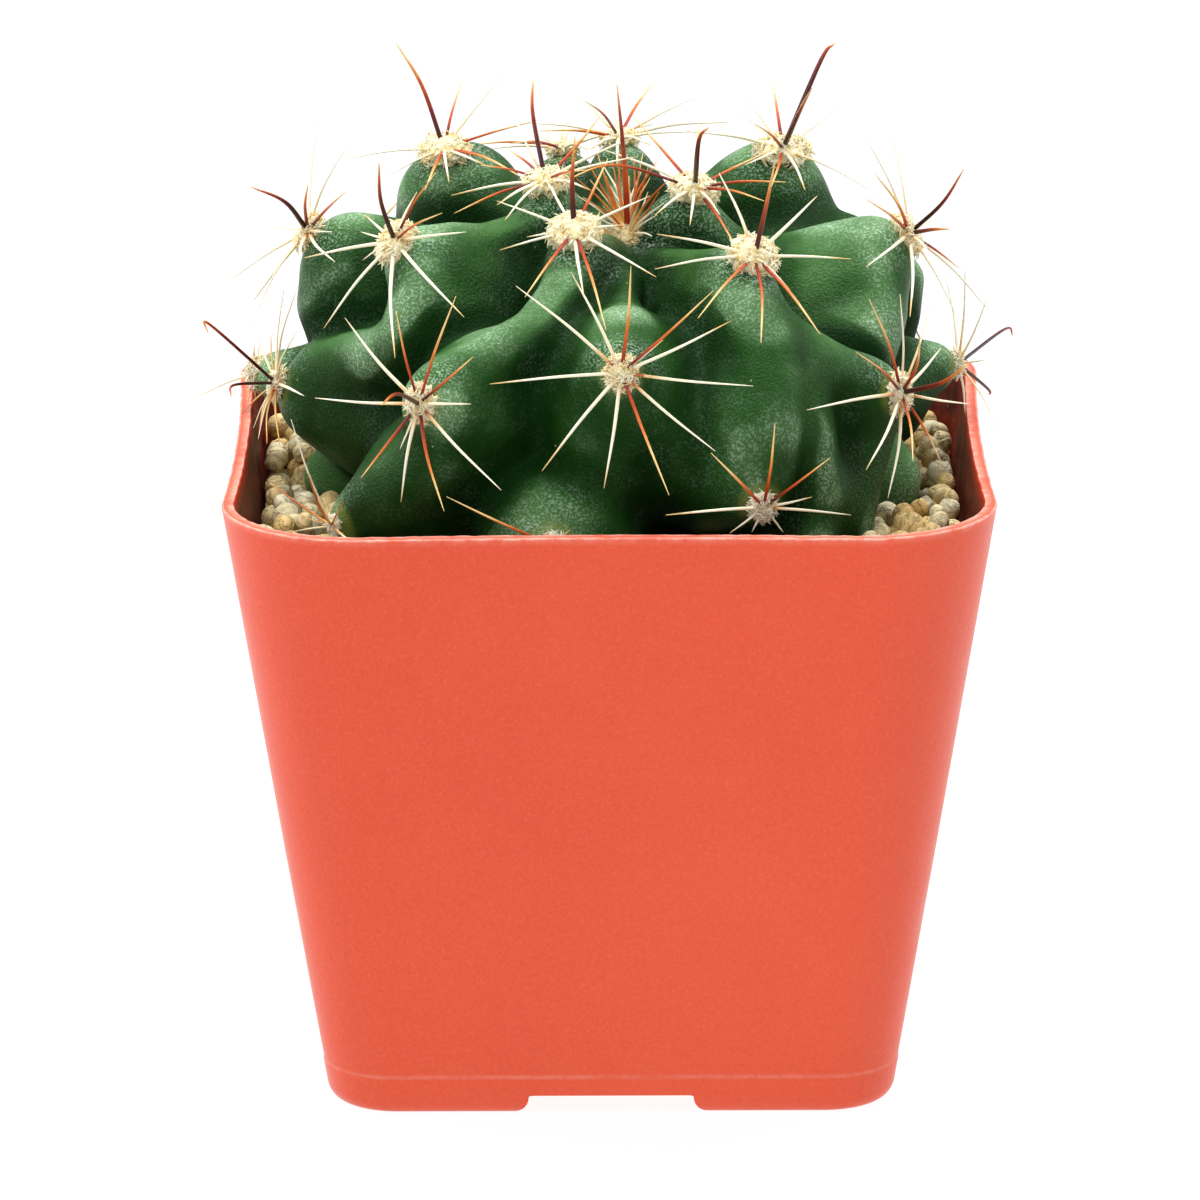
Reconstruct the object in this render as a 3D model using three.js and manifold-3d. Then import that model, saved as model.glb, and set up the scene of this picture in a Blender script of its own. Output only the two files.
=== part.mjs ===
// Potted round cactus: a square moulded pot, potting mix, a layer of round clay granules,
// the stem with its tubercles, and one cluster of wool and spines on each areole.
// Millimetres, +Z up. Origin: centre of the pot's footprint, on the surface it stands on.
import * as THREE from 'three';
import { mergeVertices } from 'three/addons/utils/BufferGeometryUtils.js';
import Module from 'manifold-3d';

const wasm = await Module();
wasm.setup();

// ---- driving dimensions -------------------------------------------------------------
const POT_HEIGHT = 73;            // rim above the surface
const POT_TOP_HALF = 44.5;        // half of the 89 mm top width
const POT_BASE_HALF = 32.95;      // half of the 65.9 mm foot width
const CORNER_TOP = 15.8;          // corner radius at the rim
const CORNER_BASE = 8.1;          // corner radius at the feet
const WALL = 1.3;                 // wall thickness
const FLOOR_UNDER = 2.4;          // height of the arched gaps between the feet
const FLOOR_TOP = 3.9;            // top of the pot's floor
const FOOT_GAP_HALF = 9.6;        // half width of the gap between two feet
const HOLE_RADIUS = 3.0;          // drainage holes
const HOLE_PITCH = 17;            // of the outer drainage holes
const GAP = 0.35;                 // clearance between touching pieces
const MIX_TOP = -11.5;            // top of the potting mix, from the rim
const GRAVEL_TOP = -6.6;          // mean top of the granule layer, from the rim
const STEM_DETAIL = 12;           // subdivision of the stem's surface
const BLEND_RIB = 3.5;            // soft blend within a rib
const BLEND_BETWEEN = 1.0;        // crease between ribs
const FAN_STEP = 2.2;             // spacing of the wedges under a crest
const FAN_DEPTH = 12;             // how deep they reach into the stem
const HEART = [0, 0, 4.5];        // the point they aim at
const CORE_CENTRE = [0, 0, 1.0];  // middle of the stem, from the rim
const CORE_RADII = [24.5, 25.0, 18.5];
const PAD_RADIUS = 2.15;          // woolly areole
const PAD_HEIGHT = 1.35;
const SPINE_RADIUS = { c: 0.30, r: 0.28, D: 0.46, f: 0.24, E: 0.42, y: 0.26, p: 0.24 };

// ---- colours ------------------------------------------------------------------------
const mat = (color, roughness, metalness = 0) =>
  new THREE.MeshStandardMaterial({ color, roughness, metalness });
const POT_MAT = mat(0xeb6046, 0.45);
const MIX_MAT = mat(0x4a3526, 0.95);
const GRAVEL_MAT = mat(0x8a7458, 0.9);
const STEM_MAT = mat(0x1f5a2c, 0.4);
const AREOLE_MAT = mat(0xe9dcae, 0.8);

// ---- solids ---------------------------------------------------------------------------
function solid(geometry) {
  const g = geometry.clone();
  for (const name of Object.keys(g.attributes)) if (name !== 'position') g.deleteAttribute(name);
  const m = mergeVertices(g, 1e-4);
  const index = m.index ? m.index.array : Uint32Array.from({ length: m.attributes.position.count }, (_, i) => i);
  const tri = [];
  for (let i = 0; i < index.length; i += 3) {
    const a = index[i], b = index[i + 1], c = index[i + 2];
    if (a !== b && b !== c && a !== c) tri.push(a, b, c);
  }
  return new wasm.Manifold(new wasm.Mesh({
    numProp: 3,
    vertProperties: Float32Array.from(m.attributes.position.array),
    triVerts: Uint32Array.from(tri),
  }));
}
function geometryOf(manifold) {
  const m = manifold.getMesh();
  const g = new THREE.BufferGeometry();
  const n = m.numProp;
  const pos = new Float32Array((m.vertProperties.length / n) * 3);
  for (let i = 0; i < pos.length / 3; i++) for (let k = 0; k < 3; k++) pos[3 * i + k] = m.vertProperties[n * i + k];
  g.setAttribute('position', new THREE.BufferAttribute(pos, 3));
  g.setIndex(new THREE.BufferAttribute(Uint32Array.from(m.triVerts), 1));
  g.computeVertexNormals();
  return g;
}
const group = new THREE.Group();
function place(name, manifold, material) {
  const mesh = new THREE.Mesh(geometryOf(manifold), material);
  mesh.name = name;
  group.add(mesh);
  return mesh;
}

// ---- pot --------------------------------------------------------------------------------
// A rounded square section: half width, corner radius, and a slight inward bow of each side.
function section(half, radius, z, bow, perCorner = 7, perSide = 3) {
  const pts = [];
  const flat = half - radius;
  for (let c = 0; c < 4; c++) {
    const turn = (c * Math.PI) / 2;
    const local = [];
    for (let k = 0; k <= perCorner; k++) {
      const a = (k / perCorner) * Math.PI / 2;
      local.push([flat + radius * Math.cos(a), flat + radius * Math.sin(a)]);
    }
    for (let k = 1; k <= perSide; k++) {
      const t = k / (perSide + 1);
      const x = flat - 2 * flat * t;
      local.push([x, half - bow * (1 - (x / flat) ** 2)]);
    }
    for (const [x, y] of local) {
      pts.push([x * Math.cos(turn) - y * Math.sin(turn), x * Math.sin(turn) + y * Math.cos(turn), z]);
    }
  }
  return pts;
}
// A closed solid through a stack of equal-count rings, bottom to top, capped with fans.
function loft(rings) {
  const n = rings[0].length;
  const pos = [];
  for (const r of rings) for (const p of r) pos.push(...p);
  const idx = [];
  for (let j = 0; j + 1 < rings.length; j++) {
    for (let i = 0; i < n; i++) {
      const k = (i + 1) % n;
      const a = j * n + i, b = j * n + k, c = (j + 1) * n + k, d = (j + 1) * n + i;
      idx.push(a, b, c, a, c, d);
    }
  }
  const cap = (ring, up) => {
    const base = pos.length / 3;
    const mean = [0, 0, 0];
    for (const p of ring) for (let k = 0; k < 3; k++) mean[k] += p[k] / n;
    pos.push(...mean);
    const off = up ? (rings.length - 1) * n : 0;
    for (let i = 0; i < n; i++) {
      const k = (i + 1) % n;
      if (up) idx.push(base, off + i, off + k); else idx.push(base, off + k, off + i);
    }
  };
  cap(rings[0], false);
  cap(rings[rings.length - 1], true);
  const g = new THREE.BufferGeometry();
  g.setAttribute('position', new THREE.Float32BufferAttribute(pos, 3));
  g.setIndex(idx);
  return solid(g);
}
const lerp = (a, b, t) => a + (b - a) * t;
function potSection(z, inset) {
  const t = z / POT_HEIGHT;
  const half = lerp(POT_BASE_HALF, POT_TOP_HALF, t) - inset;
  const radius = lerp(CORNER_BASE, CORNER_TOP, t) - inset;
  return section(half, radius, z, 0.68 * Math.max(0, t));
}
function box(x0, x1, y0, y1, z0, z1) {
  const g = new THREE.BoxGeometry(x1 - x0, y1 - y0, z1 - z0);
  g.translate((x0 + x1) / 2, (y0 + y1) / 2, (z0 + z1) / 2);
  return solid(g);
}
function drum(x, y, z0, z1, r, sides = 14) {
  const g = new THREE.CylinderGeometry(r, r, z1 - z0, sides);
  g.rotateX(Math.PI / 2);
  g.translate(x, y, (z0 + z1) / 2);
  return solid(g);
}
// Outside of the pot, with the small round at the foot edge and at the rim.
let pot = loft([
  potSection(0, 1.3), potSection(0.35, 0.55), potSection(1.4, 0.05), potSection(POT_HEIGHT - 0.45, 0),
  potSection(POT_HEIGHT, 0.3),
]);
// Inside, from the floor to above the rim.
pot = pot.subtract(loft([
  potSection(FLOOR_TOP, WALL + 1.6), potSection(FLOOR_TOP + 1.6, WALL), potSection(POT_HEIGHT - 0.5, WALL),
  potSection(POT_HEIGHT + 0.5, WALL - 0.5),
]));
// Arched gaps between the feet: one slot across each way, with rounded ends, under the floor.
function archedSlot() {
  const s = new THREE.Shape();
  const g = FOOT_GAP_HALF, h = FLOOR_UNDER, r = 1.9;
  s.moveTo(-g - r, -1); s.lineTo(-g - r, 0);
  s.absarc(-g - r, r, r, -Math.PI / 2, 0, false);
  s.lineTo(-g, h); s.lineTo(g, h); s.lineTo(g, r);
  s.absarc(g + r, r, r, Math.PI, Math.PI * 1.5, false);
  s.lineTo(g + r, -1);
  s.closePath();
  const e = new THREE.ExtrudeGeometry(s, { depth: 2 * POT_TOP_HALF, bevelEnabled: false, curveSegments: 4 });
  e.translate(0, 0, -POT_TOP_HALF);
  e.rotateX(Math.PI / 2);
  return e;
}
const slotA = archedSlot();
const slotB = archedSlot();
slotB.rotateZ(Math.PI / 2);
pot = pot.subtract(solid(slotA)).subtract(solid(slotB));
// Each corner foot is a shallow well: the floor drops inside it, so its wall keeps one thickness.
const WELL_IN = FOOT_GAP_HALF + 1.9 + 1.4, WELL_OUT = POT_BASE_HALF - WALL - 1.9;
function footWell(sx, sy, gap, z0, z1) {
  const w = WELL_OUT - WELL_IN - 2 * gap, mid = (WELL_OUT + WELL_IN) / 2;
  const corner = new THREE.Shape();
  const radius = (qx, qy) => (qx * sx > 0 && qy * sy > 0 ? CORNER_BASE - WALL - 1.2 : 1.6);
  const put = (qx, qy, a0) => {
    const q = radius(qx, qy);
    corner.absarc(qx * (w / 2 - q), qy * (w / 2 - q), q, a0, a0 + Math.PI / 2, false);
  };
  corner.moveTo(w / 2, 0);
  put(1, 1, 0); put(-1, 1, Math.PI / 2); put(-1, -1, Math.PI); put(1, -1, 1.5 * Math.PI);
  corner.closePath();
  const e = new THREE.ExtrudeGeometry(corner, { depth: z1 - z0, bevelEnabled: false, curveSegments: 4 });
  e.translate(sx * mid, sy * mid, z0);
  return solid(e);
}
for (const sx of [-1, 1]) for (const sy of [-1, 1]) pot = pot.subtract(footWell(sx, sy, 0, WALL, FLOOR_TOP + 0.5));
// Drainage holes through the floor: one in the middle and four on the cross of the slots.
for (const [x, y] of [[0, 0], [HOLE_PITCH, 0], [-HOLE_PITCH, 0], [0, HOLE_PITCH], [0, -HOLE_PITCH]]) {
  pot = pot.subtract(drum(x, y, -1, FLOOR_TOP + 1, HOLE_RADIUS));
}
place('pot', pot, POT_MAT);

// ---- stem -------------------------------------------------------------------------------
// Areoles: [name, surface point from the rim's centre, outward normal, tip radius, base radius,
// depth of the tubercle inside the stem, fullness of its underside, rib].
const TUBERCLES = [
  ['a2', [-3.86, -12, 27.24], [-0.12, -0.548, 0.828], 2.8, 4.5, 9, 0, 'B'],
  ['a13', [-7.15, 1.5, 29.86], [-0.299, -0.12, 0.947], 3, 5, 10, 0, 'A'],
  ['a14', [9.91, 1, 28.73], [0.25, -0.12, 0.961], 3.6, 5.5, 10, 0, 'E'],
  ['a3', [16.23, -20, 26], [0.382, -0.623, 0.683], 3.2, 5, 13, 0, 'D'],
  ['a1', [-23.75, -12, 25.76], [-0.621, -0.451, 0.641], 3, 5.2, 13, 0, 'A'],
  ['a12', [-19.33, 18.2, 29.81], [-0.25, -0.34, 0.906], 7.7, 8.2, 15, 0, 'H2'],
  ['a15', [20.67, 18.5, 29.6], [0.21, -0.33, 0.92], 7.1, 8.2, 15, 0, 'F'],
  ['a16', [1.33, 24, 29.68], [0, 0.122, 0.993], 3.4, 4.4, 12, 0, 'G'],
  ['a21', [-5.38, 30, 26.9], [-0.123, 0.204, 0.971], 3.9, 4.6, 12, 0, 'G2'],
  ['a9', [-34.19, 4, 23.18], [-0.857, -0.08, 0.508], 4, 6.2, 14, 0, 'H'],
  ['a10', [34.64, 2, 23.45], [0.866, -0.149, 0.478], 4.2, 6.2, 14, 0, 'E'],
  ['a4', [1.35, -37.6, 17.61], [0.02, -0.953, 0.301], 3.8, 5, 14, 0, 'C'],
  ['a5', [-20.82, -34, 13.18], [-0.503, -0.845, 0.181], 3.4, 6.5, 15, 0, 'B'],
  ['a6', [32.89, -22, 10.92], [0.842, -0.521, 0.14], 3.8, 6.5, 15, 0, 'D2'],
  ['a8', [-38.51, -3, 7.1], [-0.93, -0.18, 0.32], 5.3, 8.5, 14, 0, 'A'],
  ['a11', [40.95, 7, 6.57], [0.95, 0.31, 0.04], 3, 6.2, 14, 0, 'E2'],
  ['a7', [17.12, -36.5, 1.71], [0.382, -0.924, 0], 3.6, 6.5, 14, 0, 'D'],
  ['a17', [-31.57, -26, -3.5], [-0.815, -0.57, -0.102], 3.4, 8, 13, 0, 'B'],
  ['a18', [-6.5, -38, -2.5], [-0.1, -0.98, 0.17], 9.6, 9.4, 15, 0, 'C2'],
  ['a11b', [-41.58, 13, 4.13], [-0.95, 0.303, 0.081], 3.4, 5.5, 14, 0, 'H3'],
  ['a19', [-36, 3, -6.5], [-0.989, -0.104, -0.104], 4.2, 6.5, 12, 0, 'A2'],
  ['a20', [36.3, -6, -4.8], [0.982, -0.155, -0.103], 4.6, 7, 13, 0, 'E3'],
  ['a22', [24.5, -32, -4.5], [0.607, -0.789, -0.101], 4.5, 7, 12, 0, 'D3'],
  ['a23', [33, 24.5, 13], [0.702, 0.662, 0.261], 3.6, 8, 15, 0, 'F'],
  ['a24', [13.7, 36, 13.5], [0.339, 0.898, 0.279], 3.6, 8.5, 15, 0, 'G'],
  ['a25', [-13, 36.5, 12.5], [-0.349, 0.898, 0.269], 3.6, 8.5, 15, 0, 'G2'],
  ['a26', [-30, 25, 14], [-0.754, 0.603, 0.261], 3.6, 8, 15, 0, 'H2'],
  ['a27', [1, 37.5, 1], [0.02, 0.999, 0.05], 3.6, 8.5, 15, 0, 'G'],
  ['a28', [27.5, 29, 1], [0.681, 0.731, 0.05], 3.6, 8.5, 15, 0, 'F'],
  ['a29', [-24, 30.5, 1], [-0.599, 0.799, 0.05], 3.6, 8.5, 15, 0, 'G2'],
];
// Crests that join the tubercles of a rib: [rib, polyline, radius along the crest, radius inside].
const CRESTS = [
  ['A', [[-7.97, 0, 28.07], [-12.03, -3.5, 27.28], [-15.95, -7, 26.5], [-19.84, -10, 27.03], [-22.7, -12.5, 26.12]], 3.2, 4.2],
  ['A', [[-23.72, -14, 24.6], [-24.48, -18, 21.36], [-25.63, -19.5, 17.71], [-28.51, -16, 14.65], [-32.4, -10, 12.34], [-36.07, -5, 10.29]], 3.6, 6],
  ['A', [[-33, -7, 6], [-27, -14, 2], [-23, -18, -4]], 6.5, 7.5],
  ['B', [[-0.04, -5, 25.1], [-2.14, -9, 25.4]], 2.6, 3.6],
  ['B', [[-4.67, -14.5, 25.14], [-6.04, -21, 23.02], [-9, -27.5, 20.24], [-12.85, -31, 18.82], [-16.71, -33, 17.02], [-19.67, -34.2, 14.53]], 3.2, 5.5],
  ['B', [[-20.83, -34, 11.77], [-21.56, -33.5, 7.5], [-24.13, -32, 3.54], [-27.89, -29.5, -0.49]], 4.6, 8],
  ['C', [[2.04, -6, 23.91], [1.9, -12, 22.45], [1.64, -20.5, 21.09], [1.38, -29, 19.42]], 2.1, 2.6],
  ['C', [[1.38, -29, 19.42], [1.36, -34.5, 18.06]], 3.1, 4.6],
  ['C', [[0.32, -36, 13.42], [-0.6, -35, 9.03], [-1.07, -34, 4.02]], 6, 10],
  ['C', [[4.07, -35, 13.96], [8.05, -34, 9.67], [10.33, -33.5, 5.03]], 5, 9],
  ['D', [[4.61, -4, 23.39], [9.45, -9.5, 24.3], [13.77, -15.5, 24.86]], 2.9, 3.9],
  ['D', [[16.98, -23, 24.17], [18.72, -28, 21.93], [20.03, -31, 19.07], [20.56, -33.5, 15.03], [20.19, -35.5, 10.27], [18.82, -36.5, 5.25]], 4.2, 5.2],
  ['D', [[17.15, -34, 9.87], [15.12, -33.5, 3.83]], 6, 8],
  ['D2', [[17.9, -22.5, 23.92], [20.11, -27, 20.72], [24.35, -27, 17.4], [29.01, -24.5, 13.63]], 3.4, 5.5],
  ['D2', [[22.44, -31, 14.34], [24.27, -31.5, 7.97], [25.46, -31, 0.12]], 4.5, 8],
  ['D2', [[32.58, -21.5, 8.52], [31.64, -23, 3.8], [30.22, -25, -1.01], [29.06, -26, -4.91]], 5, 8],
  ['E', [[9.91, 0.5, 27.65], [13.07, 1, 26.19], [17.76, 1.5, 23.15], [22.47, 2, 20.83], [25.98, 2, 20.58], [29.73, 2, 21.17], [32.43, 2, 21.41]], 4.2, 5.2],
  ['E', [[34.71, 0, 21.06], [34.75, -3, 17.01], [33.48, -7, 13.24]], 4.4, 6],
  ['E2', [[32, 5, 2], [37.5, 6, 2.5]], 6, 7],
  ['E3', [[33, -3, 1], [34, -5, -6]], 6, 7],
  ['F', [[6, 5, 25.2], [11, 14, 26.4], [16, 20, 26.5]], 3.4, 4.4],
  ['F', [[25, 24, 21], [32, 21, 16]], 5.5, 6.5],
  ['F', [[34.5, 22, 8], [31, 26, 2]], 6.5, 7.5],
  ['F', [[31, 17, 20.5], [34.6, 14.5, 19], [37.1, 14, 16.2], [36.8, 14, 12], [35.7, 14, 8]], 3.4, 6],
  ['G', [[2.4, 6, 24.6], [1.6, 14, 25.6], [1.3, 21, 27.2]], 2.8, 3.8],
  ['G', [[3, 27, 25], [8, 33, 19], [12, 35.5, 13]], 4.5, 5.5],
  ['G', [[12, 35, 8], [5, 37, 2]], 6.5, 7.5],
  ['G2', [[-1, 7, 24.8], [-4, 17, 23.2], [-5.5, 26, 24.2]], 2.8, 3.8],
  ['G2', [[-8, 32, 22], [-12, 36, 14]], 4.2, 5.2],
  ['G2', [[-14, 36, 8], [-21, 32, 2]], 6.5, 7.5],
  ['H2', [[-3, 4, 25], [-9, 12, 24.8], [-14, 18, 25.2]], 3.4, 4.4],
  ['H2', [[-21, 25, 20], [-28, 26, 15]], 5.5, 6.5],
  ['H2', [[-31, 24, 9], [-29, 25, 0]], 6.5, 7.5],
  ['H', [[-32.19, 4, 23.41], [-30.33, 4.5, 23.28], [-28.23, 5, 22.91], [-24.27, 6, 21.67], [-18.66, 8, 20.9], [-12.16, 8, 22.34]], 4.2, 5.2],
  ['H', [[-35.58, 2.5, 20.9], [-36.35, 3, 16.9], [-35.14, 3.5, 11.66]], 5, 6.5],
  ['H3', [[-30, 8, 4], [-36, 12, 4]], 5.5, 6.5],
  ['K', [[1.6, 1.2, 23.2], [2.6, 0.2, 23.2]], 5, 7],
];
const ROOT = [
  [[0, 0, -8], [0, 0, -22], 20.0, 9.0],
  [[0, 0, -22], [0.8, 0.4, -46], 8.0, 1.3],
];
const vec = (a) => new THREE.Vector3(...a);
const ribs = new Map();
const rib = (name) => { if (!ribs.has(name)) ribs.set(name, []); return ribs.get(name); };
for (const [, p, n, tip, base, depth, chin, name] of TUBERCLES) {
  const P = vec(p), N = vec(n).normalize();
  rib(name).push([[P.clone().addScaledVector(N, -depth), P.clone().addScaledVector(N, -tip), base, tip]]);
  if (chin > 0) {
    const down = new THREE.Vector3(0, 0, -1);
    down.addScaledVector(N, -down.dot(N)).normalize();
    rib(name).push([[
      P.clone().addScaledVector(N, -depth).addScaledVector(down, 5 * chin),
      P.clone().addScaledVector(N, -(tip + 4)).addScaledVector(down, 4.5 * chin),
      base, tip + 2,
    ]]);
  }
}
const heart = vec(HEART);
const inward = (q, r) => q.clone().addScaledVector(q.clone().sub(heart).normalize(), -r);
for (const [name, pts, r, base] of CRESTS) {
  const P = pts.map(vec), chain = [];
  for (let i = 0; i + 1 < P.length; i++) {
    chain.push([inward(P[i], r), inward(P[i + 1], r), r, r]);
    const steps = Math.max(1, Math.ceil(P[i].distanceTo(P[i + 1]) / FAN_STEP));
    for (let j = 0; j < steps; j++) {
      const x = P[i].clone().lerp(P[i + 1], (j + 0.5) / steps);
      chain.push([inward(x, FAN_DEPTH), inward(x, r), base, r]);
    }
  }
  rib(name).push(chain);
}
// A sphere round each chain of cones, to skip the far ones.
for (const chains of ribs.values()) for (const chain of chains) {
  const box = new THREE.Box3();
  for (const [a, b, r1, r2] of chain) for (const [q, r] of [[a, r1], [b, r2]]) {
    box.expandByPoint(q.clone().addScalar(r));
    box.expandByPoint(q.clone().addScalar(-r));
  }
  chain.ball = box.getBoundingSphere(new THREE.Sphere());
}
const rootCones = ROOT.map(([a, b, r1, r2]) => [vec(a), vec(b), r1, r2]);
// Distance to a cone with round ends.
function roundCone(p, [a, b, r1, r2]) {
  const bx = b.x - a.x, by = b.y - a.y, bz = b.z - a.z;
  const l2 = bx * bx + by * by + bz * bz, rr = r1 - r2, a2 = l2 - rr * rr, il2 = 1 / l2;
  const px = p.x - a.x, py = p.y - a.y, pz = p.z - a.z;
  const y = px * bx + py * by + pz * bz, z = y - l2;
  const wx = px * l2 - bx * y, wy = py * l2 - by * y, wz = pz * l2 - bz * y;
  const x2 = wx * wx + wy * wy + wz * wz, y2 = y * y * l2, z2 = z * z * l2;
  const k = Math.sign(rr) * rr * rr * x2;
  if (Math.sign(z) * a2 * z2 > k) return Math.sqrt(x2 + z2) * il2 - r2;
  if (Math.sign(y) * a2 * y2 < k) return Math.sqrt(x2 + y2) * il2 - r1;
  return (Math.sqrt(x2 * a2 * il2) + y * rr) * il2 - r1;
}
function blend(a, b, k) {
  const h = Math.max(k - Math.abs(a - b), 0) / k;
  return Math.min(a, b) - h * h * k * 0.25;
}
function stemDistance(p) {
  const q = [(p.x - CORE_CENTRE[0]) / CORE_RADII[0], (p.y - CORE_CENTRE[1]) / CORE_RADII[1], (p.z - CORE_CENTRE[2]) / CORE_RADII[2]];
  const k0 = Math.hypot(...q), k1 = Math.hypot(q[0] / CORE_RADII[0], q[1] / CORE_RADII[1], q[2] / CORE_RADII[2]) + 1e-9;
  let d = Math.min(6, k0 * (k0 - 1) / k1);
  for (const chains of ribs.values()) {
    let f = 6;
    for (const chain of chains) {
      if (p.distanceTo(chain.ball.center) - chain.ball.radius > 6) continue;
      let c = 12;
      for (const cone of chain) c = Math.min(c, roundCone(p, cone));
      f = blend(f, c, BLEND_RIB);
    }
    d = blend(d, f, BLEND_BETWEEN);
  }
  for (const c of rootCones) d = blend(d, roundCone(p, c), 5);
  return d;
}
// The stem's surface, or the same surface moved out by an offset, in the pot's frame.
function stemSolid(offset, detail = STEM_DETAIL) {
  const g = new THREE.IcosahedronGeometry(1, detail);
  for (const name of Object.keys(g.attributes)) if (name !== 'position') g.deleteAttribute(name);
  const m = mergeVertices(g, 1e-5);
  const pos = m.attributes.position;
  const start = vec([0, 0, -4]);
  const d = new THREE.Vector3(), p = new THREE.Vector3();
  for (let i = 0; i < pos.count; i++) {
    d.fromBufferAttribute(pos, i);
    // steeper directions are gathered at the root, which is long and thin
    let t = 62;
    for (let k = 0; k < 90; k++) {
      p.copy(start).addScaledVector(d, t);
      const s = stemDistance(p) - offset;
      if (s < 0.004) break;
      t -= Math.max(0.004, s * 0.7);
      if (t < 1) break;
    }
    p.copy(start).addScaledVector(d, t);
    pos.setXYZ(i, p.x, p.y, p.z + POT_HEIGHT);
  }
  return solid(m);
}
const stem = stemSolid(0);
const stemClear = stemSolid(GAP);
place('cactus_body', stem, STEM_MAT);

// ---- potting mix --------------------------------------------------------------------------
function fill(z0, z1) {
  const rings = [];
  if (z0 < FLOOR_TOP + 3) {
    rings.push(potSection(z0, WALL + 1.6 + GAP), potSection(FLOOR_TOP + 2.2, WALL + GAP));
  } else rings.push(potSection(z0, WALL + GAP));
  rings.push(potSection(z1, WALL + GAP));
  return loft(rings);
}
let mix = fill(FLOOR_TOP + GAP, POT_HEIGHT + MIX_TOP).subtract(stemClear);
for (const sx of [-1, 1]) for (const sy of [-1, 1]) mix = mix.add(footWell(sx, sy, GAP, WALL + GAP, FLOOR_TOP + 2));
place('potting_mix', mix, MIX_MAT);

// ---- granule layer ------------------------------------------------------------------------
// One lumpy sheet of packed granules that falls a little from the front to the back corner.
function granuleTop(x, y) {
  const tilt = -0.03 * y + 0.010 * x;
  const lumps = 0.45 * Math.sin(x * 1.9 + 0.4 * y) * Math.sin(y * 1.7 - 0.3 * x);
  return GRAVEL_TOP + tilt + lumps;
}
function granuleLayer() {
  const bottom = POT_HEIGHT + MIX_TOP + GAP;
  const outline = potSection(bottom, WALL + GAP);
  const n = outline.length, rows = 8;
  const pos = [], idx = [];
  for (const p of outline) pos.push(p[0], p[1], bottom);
  // the upper surface in rings from the wall inward
  for (let j = 0; j < rows; j++) {
    const s = 1 - 0.5 * (j / (rows - 1));
    for (const p of outline) {
      const x = p[0] * s, y = p[1] * s;
      pos.push(x, y, POT_HEIGHT + granuleTop(x, y));
    }
  }
  for (let j = 0; j < rows; j++) for (let i = 0; i < n; i++) {
    const k = (i + 1) % n, a = j * n + i, b = j * n + k, c = (j + 1) * n + k, d = (j + 1) * n + i;
    idx.push(a, b, c, a, c, d);
  }
  const top = pos.length / 3;
  pos.push(0, 0, POT_HEIGHT + GRAVEL_TOP);
  const low = top + 1;
  pos.push(0, 0, bottom);
  for (let i = 0; i < n; i++) {
    const k = (i + 1) % n;
    idx.push(top, rows * n + i, rows * n + k, low, k, i);
  }
  const g = new THREE.BufferGeometry();
  g.setAttribute('position', new THREE.Float32BufferAttribute(pos, 3));
  g.setIndex(idx);
  return solid(g);
}
place('granule_top_layer', granuleLayer().subtract(stemClear), GRAVEL_MAT);

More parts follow.
